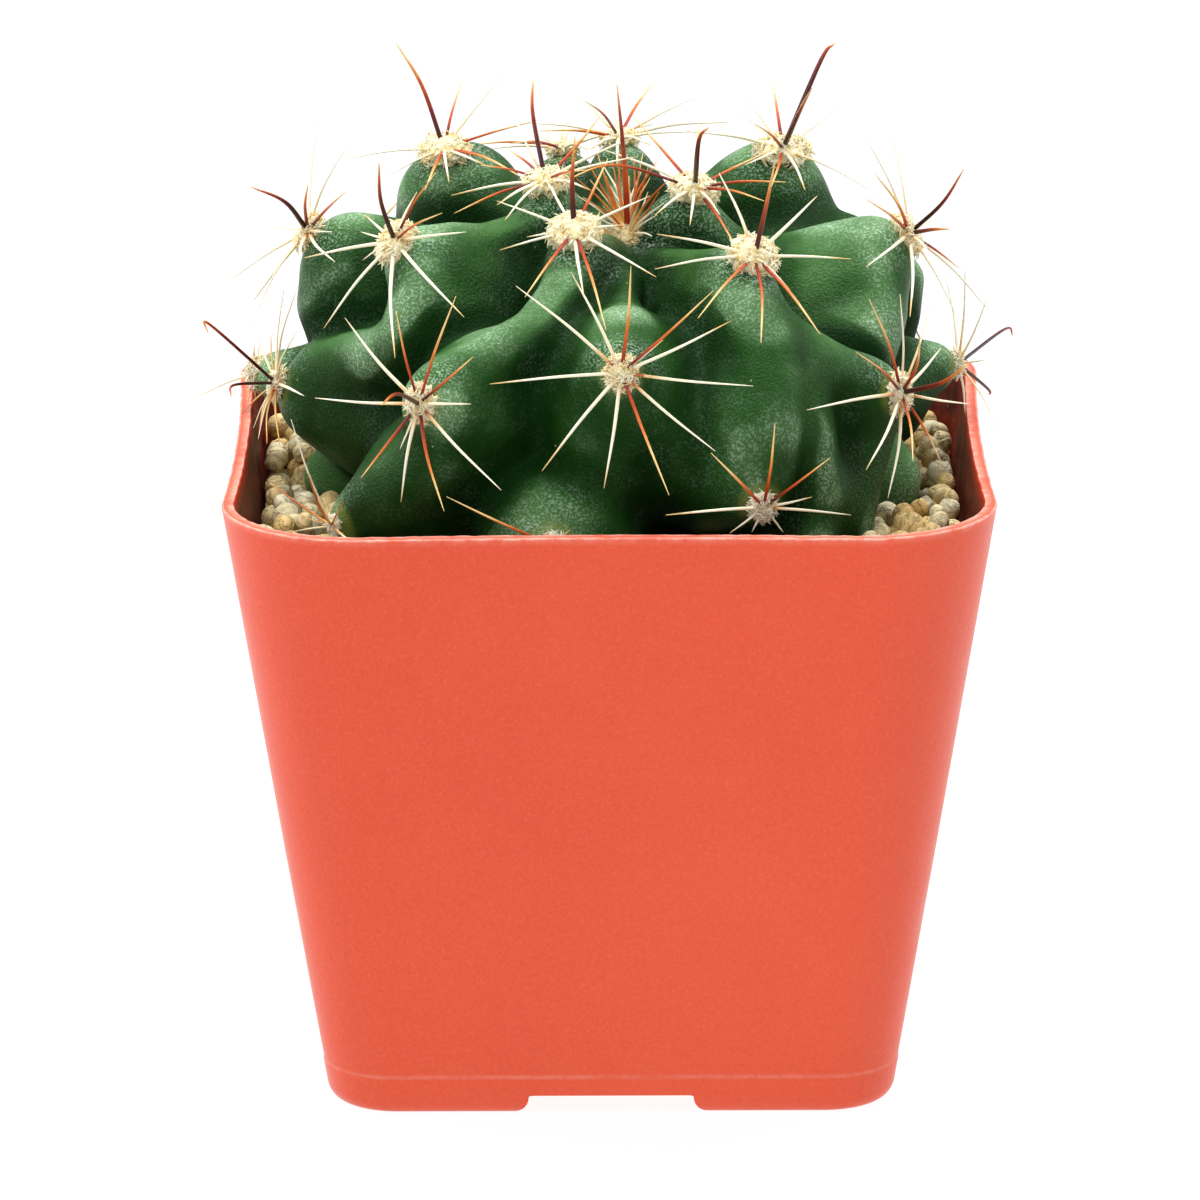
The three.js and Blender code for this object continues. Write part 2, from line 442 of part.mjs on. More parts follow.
// ---- areoles: wool with spines ---------------------------------------------------------------
// [name, surface point from the rim's centre, outward normal, spines: [kind, ...points to the tip]]
// kinds: c pale radial, r red radial, D thick central, f thin rear radial, E thick red, y and p short
// young ones of the crown, red and pale.
const AREOLES = [
  ['a2', [-3.88, -12.1, 27.39], [-0.12, -0.548, 0.828], [
    ['D', [-3.82, -11.6, 38.9]], ['c', [-12.87, -10.35, 30.91]], ['c', [-9.4, -13.1, 27.3]],
    ['c', [-12.51, -15.1, 26.27]], ['r', [-9.57, -25.6, 23.4]], ['c', [-2.83, -23.6, 22.86]],
    ['c', [5.43, -21.6, 24.68]], ['c', [4.82, -10.6, 31.5]], ['c', [-7.22, -6.1, 32.34]],
    ['r', [-0.33, -32.6, 21.32]], ['c', [1.91, -13.6, 28.82]], ['r', [-0.01, -4.31, 34.48]],
  ]],
  ['a14', [10, 0.96, 29.07], [0.25, -0.12, 0.961], [
    ['D', [10.51, -7.81, 37.46], [11.64, -10.54, 39.66]], ['r', [2.95, 8.46, 36.45]],
    ['r', [10.74, 11.96, 34.98]], ['r', [18.46, 8.46, 31.93]], ['r', [20.75, -0.54, 30.63]],
    ['r', [18.01, -10.04, 30.73]], ['r', [14.86, -12.04, 25.52]],
    ['r', [0.8, -5.78, 34.02], [-5.46, -10.51, 33.18]], ['c', [5.38, -12.04, 29.6]],
    ['c', [12.9, -11.04, 29.33]], ['c', [9.42, -12.54, 28.52]], ['c', [-0.68, 3.44, 33.65]],
  ]],
  ['a13', [-7.17, 1.49, 29.93], [-0.299, -0.12, 0.947], [
    ['D', [-8.78, 6.13, 37.17], [-8.77, 8.49, 40.94]], ['r', [-15.03, 6.49, 31.07]],
    ['r', [-11.64, 8.99, 32.27]], ['f', [-11.32, 14.99, 35.66]],
    ['r', [-3.4, 5.12, 34.02], [-0.93, 7.49, 36.69]], ['r', [-2.69, -7.11, 33.76]],
    ['c', [-12.89, -9.01, 30.1]], ['c', [-11.96, -10.51, 28.68]], ['c', [-5.6, -8.11, 29.61]],
    ['c', [-2.11, -10.01, 32.1]], ['c', [3.36, -2.72, 34.25]], ['c', [3.4, 2.23, 35.57]],
    ['c', [-18.38, 2.01, 28.53]], ['r', [-17.9, -4.73, 28.06]],
  ]],
  ['a3', [16.53, -20.49, 26.53], [0.382, -0.623, 0.683], [
    ['D', [19.03, -21.99, 38.28]], ['c', [12.72, -15.99, 35.53]], ['c', [24.06, -12.99, 32.03]],
    ['c', [27.89, -17.49, 25.68]], ['r', [24, -31.49, 20.47]], ['r', [17.19, -36.99, 20.9]],
    ['r', [10.09, -34.99, 23.32]], ['c', [5.26, -29.49, 27.65]], ['c', [5.52, -25.99, 30.86]],
    ['c', [20.74, -23.99, 23.71]],
  ]],
  ['a16', [1.33, 23.99, 29.57], [0, 0.122, 0.993], [
    ['r', [-2.69, 12.49, 37.32]], ['r', [5.48, 36.99, 33.71]], ['f', [-0.54, 38.99, 34.25]],
    ['f', [12.18, 32.99, 33.64]], ['f', [-6.93, 36.99, 34.86]], ['c', [-2.12, 11.49, 31.63]],
    ['c', [4.96, 11.99, 32.09]], ['c', [1.06, 9.49, 30.29]], ['c', [-9.83, 26.86, 31.26]],
    ['r', [-8.43, 18.79, 32.2]], ['c', [10.17, 17.77, 32.28]], ['c', [14.42, 24.44, 31.84]],
  ]],
  ['a1', [-24.37, -12.45, 26.4], [-0.621, -0.451, 0.641], [
    ['D', [-26.13, -23.95, 38.79]], ['r', [-19.79, -15.95, 35.75]], ['c', [-22.12, -9.95, 31.91]],
    ['r', [-19.01, -22.95, 32.65]], ['c', [-28.26, -5.95, 28.19]], ['c', [-28.71, -7.45, 26.54]],
    ['c', [-35.3, -9.47, 23.96]], ['c', [-28.41, -11.45, 24.21]], ['c', [-32.81, -17.95, 17.8]],
    ['c', [-24.44, -27.45, 16.74]], ['c', [-16.52, -27.95, 21.68]], ['c', [-16.3, -22.45, 30.28]],
  ]],
  ['a10', [34.79, 1.97, 23.53], [0.866, -0.149, 0.478], [
    ['D', [41.21, -7.53, 33.84]], ['D', [39.64, -7.53, 26.68]], ['r', [31.02, -7.53, 33.16]],
    ['r', [29.79, -10.53, 31.04]], ['f', [33.21, 6.97, 34.9]], ['f', [30.13, 1.97, 35.27]],
    ['f', [35.72, 10.47, 27.87]], ['c', [29.74, -13.53, 23.71]], ['c', [34.89, -12.53, 17.46]],
    ['f', [44.77, 3.94, 13.83]], ['c', [37.24, -10.53, 23.51]], ['r', [40.8, -4.6, 15.05]],
    ['c', [41.41, 8.92, 17.77]], ['c', [39.93, 14.14, 22.81]],
  ]],
  ['a12', [-19.32, 18.22, 29.76], [-0.25, -0.34, 0.906], [
    ['D', [-22.04, 20.55, 37.3], [-25.11, 22.22, 42.15]], ['r', [-17.36, 25.22, 36.8]],
    ['f', [-11.5, 24.72, 38.6]], ['f', [-23.59, 25.72, 33.89]], ['f', [-31.7, 18.72, 28.75]],
    ['f', [-26.15, 9.22, 28.99]], ['r', [-9.74, 3.72, 30.05]], ['c', [-18.7, 7.22, 28.85]],
    ['c', [-14.47, 8.72, 30.53]], ['r', [-21.47, 4.22, 28.64]], ['r', [-8.35, 15.84, 34.21]],
  ]],
  ['a4', [1.35, -37.53, 17.59], [0.02, -0.953, 0.301], [
    ['c', [-10.48, -37.03, 27.66]], ['c', [-4.27, -36.53, 29.14]], ['r', [2.5, -38.53, 30.33]],
    ['r', [11.73, -39.53, 27.65]], ['c', [6.1, -37.53, 21.43]], ['c', [13.78, -38.03, 23.76]],
    ['c', [16.24, -40.03, 16.69]], ['c', [11.93, -42.03, 9.64]], ['r', [6.69, -47.03, 5.92]],
    ['c', [-0.62, -43.53, 5.77]], ['c', [-7.61, -43.53, 7.79]], ['c', [-13.45, -40.53, 17.16]],
  ]],
  ['a15', [20.66, 18.52, 29.55], [0.21, -0.33, 0.92], [
    ['D', [25.34, 21.8, 40.01], [27.01, 22.52, 41.91]], ['D', [23.86, 4.52, 40.68]],
    ['r', [19.73, 26.02, 36.24]], ['f', [14.12, 26.02, 37.48]], ['r', [17.23, 5.52, 36.14]],
    ['f', [32.37, 8.52, 26.42]], ['c', [16.12, 9.02, 30.35]], ['c', [24.95, 19.02, 29.46]],
    ['c', [23.16, 7.52, 27.67]], ['r', [18.96, 3.52, 28.67]], ['f', [15.13, 21.52, 34.02]],
    ['c', [9.32, 14.61, 33.09]], ['c', [27.48, 26.59, 32.98]],
  ]],
  ['a9', [-34.77, 3.95, 23.53], [-0.857, -0.08, 0.508], [
    ['D', [-37.71, -1.05, 28.56], [-41.47, -5.55, 31.48]], ['f', [-34.04, 12.45, 36.59]],
    ['r', [-34.82, -6.55, 32.07]], ['r', [-30.51, -7.55, 31.35]], ['f', [-45.21, 9.95, 15.99]],
    ['c', [-41.77, 5.95, 14.94]], ['f', [-40.82, 14.95, 21.29]], ['f', [-32.01, -9.55, 27.08]],
    ['c', [-35.8, -8.55, 23.25]], ['c', [-31.66, -11.05, 23.88]], ['c', [-30.62, 2.35, 34.26]],
    ['r', [-35.83, 14.82, 27.41]], ['c', [-41.24, -3.93, 15.77]],
  ]],
  ['a6', [33.14, -22.16, 10.96], [0.842, -0.521, 0.14], [
    ['r', [29.56, -31.16, 24.48]], ['r', [28.01, -34.66, 19.19]], ['r', [35.35, -32.16, 20.14]],
    ['c', [38.41, -15.16, 14.43]], ['D', [40.75, -36.66, 18.39]], ['c', [41.77, -13.66, 7.3]],
    ['r', [38.45, -22.66, 2.37]], ['r', [34.61, -33.16, 5.91]], ['c', [31.87, -30.66, 0.83]],
    ['c', [29.25, -33.66, 5.01]], ['c', [22.43, -36.66, 12.94]], ['c', [37.29, -16.79, 21.12]],
    ['c', [33.38, -22.53, 22.81]],
  ]],
  ['a5', [-21.33, -34.86, 13.36], [-0.503, -0.845, 0.181], [
    ['D', [-23.84, -45.18, 17.29], [-25.46, -52.86, 18.11]], ['r', [-24.07, -36.36, 24.61]],
    ['r', [-17.21, -40.36, 27.38]], ['r', [-15.31, -42.86, 20.94]], ['c', [-15.61, -40.36, 14.78]],
    ['c', [-12.24, -44.36, 5.81]], ['r', [-18.68, -44.86, 3.51]], ['c', [-23.67, -38.36, 2.73]],
    ['r', [-28.21, -37.36, 5.3]], ['c', [-23.78, -35.86, 8.28]], ['c', [-33.54, -30.36, 12.82]],
    ['c', [-30.02, -30.36, 22.24]],
  ]],
  ['a11', [40.81, 6.95, 6.56], [0.95, 0.31, 0.04], [
    ['D', [47.33, 18.05, 7.91], [48.38, 19.95, 6.54]], ['D', [45.16, 13.51, 1.73], [45.33, 14.45, 0.73]],
    ['c', [42.15, 6.45, 0.71]], ['f', [42.03, 19.95, 8.78]], ['r', [39.12, 21.45, 5.06]],
    ['c', [39.63, 17.95, 0.17]], ['f', [44.18, -0.05, 8.93]], ['c', [39.97, 15.34, 15.76]],
    ['c', [42.1, 8.16, 18.31]], ['r', [44.43, 1.2, 16.13]], ['c', [45.7, -1.12, 0.84]],
  ]],
  ['a8', [-38.46, -2.99, 7.08], [-0.93, -0.18, 0.32], [
    ['D', [-46.31, -12.11, 16.79], [-46.41, -12.99, 15.94]],
    ['D', [-43.59, -10.49, 9.02], [-43.88, -12.49, 8.12]], ['f', [-42.56, 8.01, 14.4]],
    ['c', [-39.87, 7.01, 10.26]], ['c', [-35.26, -16.49, 9.3]], ['c', [-40.59, -14.99, 4.58]],
    ['c', [-39.68, -14.99, 3.14]], ['c', [-38.14, -15.99, 3.17]], ['c', [-43.47, 5.01, 1.15]],
    ['c', [-36.23, -10.93, 15.48]], ['c', [-36.29, -4.65, 19.18]], ['c', [-38.05, 2.23, 17.6]],
    ['c', [-41.72, -2.19, 1.56]], ['c', [-41, -6.81, 1.48]],
  ]],
  ['a7', [17.29, -36.92, 1.71], [0.382, -0.924, 0], [
    ['r', [11.44, -44.92, 10.22]], ['r', [18.71, -41.42, 12.73]], ['r', [25.03, -37.92, 7.63]],
    ['c', [27.54, -34.42, -0.1]], ['c', [19.75, -36.42, -1.52]], ['c', [16.19, -37.92, -1.07]],
    ['c', [13.67, -39.42, -0.75]], ['c', [6.37, -43.92, 2.69]], ['c', [23.06, -35.42, 2.33]],
  ]],
  ['a17', [-31.49, -25.95, -3.49], [-0.815, -0.57, -0.102], [
    ['y', [-39.15, -21.45, 0.26]], ['y', [-34.3, -34.95, 5.23]], ['f', [-36.67, -21.95, -5.49]],
    ['c', [-30.12, -34.95, 2.02]], ['c', [-35.75, -20.95, -3.74]], ['c', [-36.5, -25.07, 8.87]],
    ['r', [-26.7, -36.03, -4.48]],
  ]],
  ['a18', [-6.5, -37.95, -2.51], [-0.1, -0.98, 0.17], [
    ['r', [-7, -38.45, -0.84]], ['r', [-4.49, -38.95, -0.47]], ['r', [-18.51, -38.09, 3.27]],
    ['r', [-11.4, -38.75, -4.52]], ['c', [-7.5, -39.56, -5.17]], ['c', [-4.69, -39.25, -5.3]],
    ['c', [2.61, -40.74, -3.42]],
  ]],
  ['a21', [-5.37, 29.98, 26.81], [-0.123, 0.204, 0.971], [
    ['f', [-8.81, 43.48, 28.62]], ['f', [-6.26, 43.98, 28.99]], ['f', [-3.35, 42.48, 27.6]],
    ['f', [-10.62, 40.98, 26.61]], ['c', [-2.36, 17.98, 30.05]], ['c', [3.35, 27.27, 30.44]],
    ['c', [5.53, 30.92, 30.03]], ['c', [3.18, 37.9, 28.32]], ['r', [-17.18, 34.98, 26.56]],
    ['c', [-14.48, 27.03, 28.01]], ['r', [-11.61, 19.41, 30.54]],
  ]],
  ['a11b', [-41.46, 12.96, 4.12], [-0.95, 0.303, 0.081], [
    ['c', [-40.97, 16.67, 4.02]], ['r', [-41.41, 15.69, 1.97]], ['c', [-42.08, 13.92, 0.77]],
    ['r', [-42.96, 12.66, 0.63]], ['c', [-48.38, 10.12, 2.24]], ['c', [-43.11, 9.85, 3.98]],
    ['c', [-42.62, 10.65, 6]], ['r', [-42.06, 12.23, 7.69]], ['c', [-41.41, 14.42, 7.84]],
    ['c', [-41.09, 15.47, 6.32]],
  ]],
  ['a23', [32.99, 24.49, 13], [0.702, 0.662, 0.261], [
    ['c', [36.09, 22.06, 13.47]], ['c', [35.69, 23.35, 10.99]], ['c', [38.88, 24.37, 1.98]],
    ['r', [35.14, 30.85, 1.67]], ['c', [29.11, 34.22, 6.83]], ['c', [26.93, 30.64, 14.84]],
    ['c', [29.1, 28.55, 18.33]], ['c', [31.12, 25.81, 18.88]], ['c', [33.61, 23.06, 19.22]],
    ['c', [34.91, 22.62, 14.68]], ['r', [35.54, 29.81, 10.26]], ['r', [33.44, 29.19, 17.46]],
  ]],
  ['a24', [13.79, 36.23, 13.57], [0.339, 0.898, 0.279], [
    ['c', [26.56, 33.58, 14.71]], ['c', [24.95, 36.68, 6.7]], ['c', [17.69, 40.03, 3.65]],
    ['r', [11.19, 42.04, 4.77]], ['c', [7.54, 42.46, 7.71]], ['c', [4.74, 41.92, 12.9]],
    ['c', [5.51, 39.2, 21.37]], ['c', [12.12, 36.06, 20.61]], ['c', [16.56, 34.01, 24.46]],
    ['c', [22.42, 33.2, 19.65]], ['D', [20.48, 39, 15.5]], ['r', [13.98, 48.06, 8.19]],
    ['r', [12.23, 40.48, 18.23]],
  ]],
  ['a25', [-13.2, 37.01, 12.65], [-0.349, 0.898, 0.269], [
    ['c', [-2.7, 43.68, 12.05]], ['c', [-5.87, 44.51, 5.39]], ['r', [-10.45, 43.69, 2.16]],
    ['c', [-18.23, 40.62, 2.02]], ['c', [-23.57, 37.5, 5.66]], ['c', [-25.43, 35.51, 12.85]],
    ['r', [-23.65, 33.28, 20.2]], ['c', [-16.17, 34.78, 23.82]], ['r', [-9.82, 37.64, 20.42]],
    ['c', [-3.8, 40.74, 20.76]], ['D', [-7.3, 52.86, 13.92]], ['r', [-20.08, 46.34, 6.77]],
    ['r', [-20.8, 41.42, 22.23]],
  ]],
  ['a26', [-30.35, 25.28, 14.12], [-0.754, 0.603, 0.261], [
    ['r', [-24.79, 34.96, 15.28]], ['r', [-27.76, 34.18, 8.31]], ['c', [-31.19, 32.14, 4.01]],
    ['c', [-35.74, 24.76, 6.16]], ['r', [-35.39, 22.45, 10.6]], ['r', [-35.63, 20.61, 14.35]],
    ['c', [-34.71, 20.29, 18.25]], ['c', [-30.92, 23.85, 19.5]], ['c', [-28.69, 26.71, 19.43]],
    ['r', [-24.52, 33, 21.01]], ['D', [-30.87, 32.25, 16.85]], ['r', [-36.13, 26.79, 11.56]],
  ]],
  ['a27', [1.01, 37.8, 1.02], [0.02, 0.999, 0.05], [
    ['c', [12.41, 39.52, 2.39]], ['c', [7.02, 39.29, -3.84]], ['c', [2.75, 39.07, -4.5]],
    ['c', [-1.66, 39.36, -5.15]], ['r', [-8.05, 40.25, -5.17]], ['c', [-10.48, 40.08, 0.67]],
    ['r', [-7.21, 39.56, 8.71]], ['r', [-3.24, 39.29, 11.04]], ['r', [3.24, 39.11, 11.61]],
    ['c', [11.05, 39.37, 7.56]], ['D', [5.04, 52.2, 0.75]], ['r', [-2.27, 46.62, 9.99]],
  ]],
  ['a28', [27.78, 29.3, 1.02], [0.681, 0.731, 0.05], [
    ['c', [37.45, 24.38, 1.11]], ['r', [35.52, 24.86, -3.98]], ['c', [30.11, 28.73, -3.77]],
    ['c', [27.7, 31.21, -4.74]], ['c', [23.98, 35.46, -4.88]], ['r', [19.94, 39.82, -0.25]],
    ['c', [21.32, 37.83, 7.15]], ['r', [26.97, 32.28, 13.65]], ['c', [30.93, 28.61, 13.73]],
    ['c', [35.75, 25.52, 7.24]], ['D', [35.27, 29.56, 1.33]], ['r', [32.95, 39.93, -4.38]],
    ['r', [31.6, 37.69, 10.18]],
  ]],
  ['a29', [-24.17, 30.72, 1.01], [-0.599, 0.799, 0.05], [
    ['c', [-15.15, 40.29, 1.94]], ['r', [-19.95, 36.05, -4.09]], ['r', [-23.31, 33.12, -4.85]],
    ['c', [-26.84, 30.44, -4.7]], ['c', [-30.54, 28.19, -4.49]], ['c', [-36.08, 24.68, 1.06]],
    ['c', [-33.74, 25.86, 7.36]], ['r', [-28.19, 29.44, 10.99]], ['c', [-20.95, 35.26, 13.03]],
    ['c', [-17.72, 37.72, 8.56]], ['D', [-29.79, 44.63, 1.18]], ['r', [-32.29, 38.81, -5.12]],
    ['r', [-33.06, 35.03, 9.46]],
  ]],
  ['crown', [2.27, 0.71, 23.46], [0.02, -0.14, 0.99], [
    ['E', [1.06, 1.21, 42.02]], ['y', [-2.35, 2.71, 32.2]], ['y', [-1.29, 4.21, 33.15]],
    ['y', [-0.25, 3.21, 30.5]], ['y', [0.46, 4.71, 32.06]], ['y', [2.45, 4.21, 30.25]],
    ['y', [3.04, 5.21, 32.17]], ['y', [4.1, 5.21, 32.77]], ['y', [5.73, 4.21, 32.05]],
    ['y', [4.9, 3.21, 30.25]], ['y', [5.9, -4.29, 30.41]], ['y', [-2.94, -2.29, 29.35]],
    ['y', [-0.96, 1.71, 29.19]], ['y', [3.85, 3.21, 28.8]], ['y', [1.29, 5.21, 33.14]],
    ['p', [-2.12, 3.71, 29.91]], ['p', [6.47, -6.29, 29.59]], ['p', [5.06, -7.79, 26.03]],
    ['p', [-1.44, -3.29, 26.35]], ['p', [0.45, 3.71, 27.97]], ['p', [3.33, -5.79, 29.12]],
    ['p', [-0.59, 5.71, 31.22]], ['p', [0.22, 4.21, 29.05]], ['p', [1.64, 6.21, 30.73]],
    ['p', [3.86, 5.71, 30.36]], ['p', [4.67, 3.71, 28.44]], ['p', [5.66, -5.79, 28.04]],
    ['y', [-0.61, -2.79, 28.39]], ['y', [4.68, 4.21, 31.21]], ['p', [-2.6, -2.79, 27.43]],
    ['y', [6.95, -4.79, 31.97]], ['y', [-3.75, -0.79, 31.26]], ['p', [-3.53, -0.79, 29.1]],
  ]],
];
function frameOf(n) {
  const u = new THREE.Vector3(0, 0, 1).cross(n);
  if (u.length() < 0.2) u.set(0, 1, 0).cross(n);
  u.normalize();
  return [u, n.clone().cross(u)];
}
function spine(points, r0) {
  // a slim cone with three sides through the given points, closed at the base, ending in a point
  const sides = 3;
  const pos = [], idx = [];
  const last = points.length - 1;
  let total = 0;
  for (let i = 0; i < last; i++) total += points[i].distanceTo(points[i + 1]);
  let run = 0;
  for (let i = 0; i < last; i++) {
    const dir = (i === 0 ? points[1].clone().sub(points[0]) : points[i + 1].clone().sub(points[i - 1])).normalize();
    const [u, v] = frameOf(dir);
    const r = r0 * (1 - 0.75 * (run / total));
    for (let k = 0; k < sides; k++) {
      const a = (2 * Math.PI * k) / sides;
      const q = points[i].clone().addScaledVector(u, r * Math.cos(a)).addScaledVector(v, r * Math.sin(a));
      pos.push(q.x, q.y, q.z);
    }
    run += points[i].distanceTo(points[i + 1]);
  }
  const tip = pos.length / 3;
  pos.push(points[last].x, points[last].y, points[last].z);
  for (let i = 0; i + 1 < last; i++) for (let k = 0; k < sides; k++) {
    const a = i * sides + k, b = i * sides + ((k + 1) % sides), c = b + sides, d = a + sides;
    idx.push(a, b, c, a, c, d);
  }
  for (let k = 0; k < sides; k++) idx.push((last - 1) * sides + k, (last - 1) * sides + ((k + 1) % sides), tip);
  idx.push(0, 2, 1);
  const g = new THREE.BufferGeometry();
  g.setAttribute('position', new THREE.Float32BufferAttribute(pos, 3));
  g.setIndex(idx);
  return solid(g);
}
AREOLES.forEach(([, p, n, spines], i) => {
  const N = vec(n).normalize();
  const P = vec(p).add(vec([0, 0, POT_HEIGHT]));
  const [u, v] = frameOf(N);
  const dome = new THREE.SphereGeometry(1, 8, 5);
  dome.rotateX(Math.PI / 2);
  dome.scale(PAD_RADIUS, PAD_RADIUS, PAD_HEIGHT);
  dome.applyMatrix4(new THREE.Matrix4().makeBasis(u, v, N).setPosition(P.clone().addScaledVector(N, 0.35)));
  let cluster = solid(dome);
  for (const [kind, ...pts] of spines) {
    const tips = pts.map((q) => vec(q).add(vec([0, 0, POT_HEIGHT])));
    const first = P.clone().addScaledVector(N, 0.85);
    const start = first.clone().addScaledVector(tips[0].clone().sub(first).normalize(), -0.2);
    cluster = cluster.add(spine([start, ...tips], SPINE_RADIUS[kind]));
  }
  cluster = cluster.subtract(stemClear);
  place('areole_' + String(i + 1).padStart(2, '0'), cluster, AREOLE_MAT);
});

export default group;
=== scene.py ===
# Looks of the potted round cactus: fine stem, wool, spines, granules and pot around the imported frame.
import bpy, math
import numpy as np
import openvdb as vdb
from mathutils import Matrix, Vector, noise


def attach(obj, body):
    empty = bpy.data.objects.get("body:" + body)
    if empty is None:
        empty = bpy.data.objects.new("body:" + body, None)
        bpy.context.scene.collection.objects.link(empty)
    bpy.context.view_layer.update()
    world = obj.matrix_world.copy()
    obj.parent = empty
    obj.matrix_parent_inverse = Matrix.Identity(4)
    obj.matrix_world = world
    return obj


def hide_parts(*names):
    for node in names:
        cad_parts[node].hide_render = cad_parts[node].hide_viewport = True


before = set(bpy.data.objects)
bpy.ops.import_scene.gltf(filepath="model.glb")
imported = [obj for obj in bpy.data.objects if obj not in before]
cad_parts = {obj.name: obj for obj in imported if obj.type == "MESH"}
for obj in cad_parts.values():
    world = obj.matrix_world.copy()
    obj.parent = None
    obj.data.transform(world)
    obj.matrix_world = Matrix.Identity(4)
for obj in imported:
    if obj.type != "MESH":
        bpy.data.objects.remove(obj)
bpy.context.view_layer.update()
MM = 0.001
POT_H = 73.0
rng = np.random.RandomState(41)

# ------------------------------------------------------------------ camera first
def make_camera():
    dist, elev, roll = 1069.31, 0.288020, -0.0032893
    target = Vector((-1.113, 0.0, 52.690))
    cam = bpy.data.cameras.new("view")
    cam.lens = 271.13
    cam.sensor_width = 36.0
    cam.clip_start = 0.05
    cam.clip_end = 20.0
    cam.dof.use_dof = False
    ob = bpy.data.objects.new("view", cam)
    bpy.context.scene.collection.objects.link(ob)
    ob.location = (target + Vector((0, -math.cos(elev), math.sin(elev))) * dist) * MM
    rot = Matrix.Rotation(math.pi / 2 - elev, 4, 'X') @ Matrix.Rotation(roll, 4, 'Z')
    ob.rotation_euler = rot.to_euler()
    bpy.context.scene.camera = ob
make_camera()

# ------------------------------------------------------------------ materials helpers
class Nodes:
    def __init__(self, name):
        self.mat = bpy.data.materials.new(name)
        self.mat.use_nodes = True
        self.t = self.mat.node_tree
        self.b = self.t.nodes["Principled BSDF"]
        self.out = self.t.nodes["Material Output"]
    def new(self, kind, **kw):
        n = self.t.nodes.new(kind)
        for k, v in kw.items():
            setattr(n, k, v)
        return n
    def link(self, a, b):
        self.t.links.new(a, b)
    def coords(self):
        if not hasattr(self, "_c"):
            self._c = self.new("ShaderNodeTexCoord").outputs["Object"]
        return self._c
    def noise(self, scale, detail=3.0, rough=0.5, vec=None, dist=0.0):
        n = self.new("ShaderNodeTexNoise")
        n.inputs["Scale"].default_value = scale
        n.inputs["Detail"].default_value = detail
        n.inputs["Roughness"].default_value = rough
        n.inputs["Distortion"].default_value = dist
        self.link(vec or self.coords(), n.inputs["Vector"])
        return n.outputs["Fac"]
    def voronoi(self, scale, feature='F1', out="Distance", vec=None, rand=1.0):
        n = self.new("ShaderNodeTexVoronoi", feature=feature)
        n.inputs["Scale"].default_value = scale
        n.inputs["Randomness"].default_value = rand
        self.link(vec or self.coords(), n.inputs["Vector"])
        return n.outputs[out]
    def ramp(self, fac, stops, interp='LINEAR'):
        r = self.new("ShaderNodeValToRGB")
        cr = r.color_ramp
        cr.interpolation = interp
        while len(cr.elements) > 1:
            cr.elements.remove(cr.elements[0])
        first = True
        for p, c in stops:
            e = cr.elements[0] if first else cr.elements.new(p)
            e.position = p
            e.color = (*c, 1.0) if len(c) == 3 else c
            first = False
        self.link(fac, r.inputs["Fac"])
        return r.outputs["Color"]
    def map(self, v, a, b, c=0.0, d=1.0, smooth=False):
        m = self.new("ShaderNodeMapRange")
        if smooth:
            m.interpolation_type = 'SMOOTHSTEP'
        self.link(v, m.inputs["Value"])
        m.inputs["From Min"].default_value = a
        m.inputs["From Max"].default_value = b
        m.inputs["To Min"].default_value = c
        m.inputs["To Max"].default_value = d
        return m.outputs["Result"]
    def math(self, op, a, b=None, clamp=False):
        m = self.new("ShaderNodeMath", operation=op)
        m.use_clamp = clamp
        for i, x in enumerate((a, b)):
            if x is None:
                continue
            if isinstance(x, (int, float)):
                m.inputs[i].default_value = x
            else:
                self.link(x, m.inputs[i])
        return m.outputs[0]
    def mix(self, fac, a, b, mode='MIX'):
        m = self.new("ShaderNodeMix", data_type='RGBA', blend_type=mode)
        for sock, x in ((m.inputs[0], fac), (m.inputs[6], a), (m.inputs[7], b)):
            if isinstance(x, (int, float)):
                sock.default_value = x
            elif isinstance(x, tuple):
                sock.default_value = (*x, 1.0) if len(x) == 3 else x
            else:
                self.link(x, sock)
        return m.outputs[2]
    def attr(self, name):
        return self.new("ShaderNodeAttribute", attribute_name=name).outputs["Fac"]
    def bump(self, height, strength, dist, normal=None):
        b = self.new("ShaderNodeBump")
        b.inputs["Strength"].default_value = strength
        b.inputs["Distance"].default_value = dist
        self.link(height, b.inputs["Height"])
        if normal is not None:
            self.link(normal, b.inputs["Normal"])
        return b.outputs["Normal"]
    def set(self, **kw):
        for k, v in kw.items():
            s = self.b.inputs[k.replace("_", " ")]
            if isinstance(v, (int, float)):
                s.default_value = v
            elif isinstance(v, tuple):
                s.default_value = (*v, 1.0) if s.type == 'RGBA' else v
            else:
                self.link(v, s)
        return self

def srgb(r, g, b):
    f = lambda c: (c / 255 / 12.92) if c / 255 <= 0.04045 else ((c / 255 + 0.055) / 1.055) ** 2.4
    return (f(r), f(g), f(b))

def new_object(name, verts, faces, mats, smooth=True, face_mat=None):
    me = bpy.data.meshes.new(name)
    verts = np.asarray(verts, np.float32)
    nv = len(verts)
    me.vertices.add(nv)
    me.vertices.foreach_set("co", verts.ravel() * MM)
    loops = np.concatenate([np.asarray(f, np.int32).ravel() for f in faces])
    sizes = np.concatenate([np.full(len(f), np.asarray(f).shape[1], np.int32) for f in faces])
    starts = np.concatenate([[0], np.cumsum(sizes)[:-1]]).astype(np.int32)
    me.loops.add(len(loops))
    me.loops.foreach_set("vertex_index", loops)
    me.polygons.add(len(sizes))
    me.polygons.foreach_set("loop_start", starts)
    me.polygons.foreach_set("use_smooth", np.full(len(sizes), smooth))
    for m in mats:
        me.materials.append(m)
    if face_mat is not None:
        me.polygons.foreach_set("material_index", np.asarray(face_mat, np.int32))
    me.update(calc_edges=True)
    me.validate()
    ob = bpy.data.objects.new(name, me)
    bpy.context.scene.collection.objects.link(ob)
    return ob

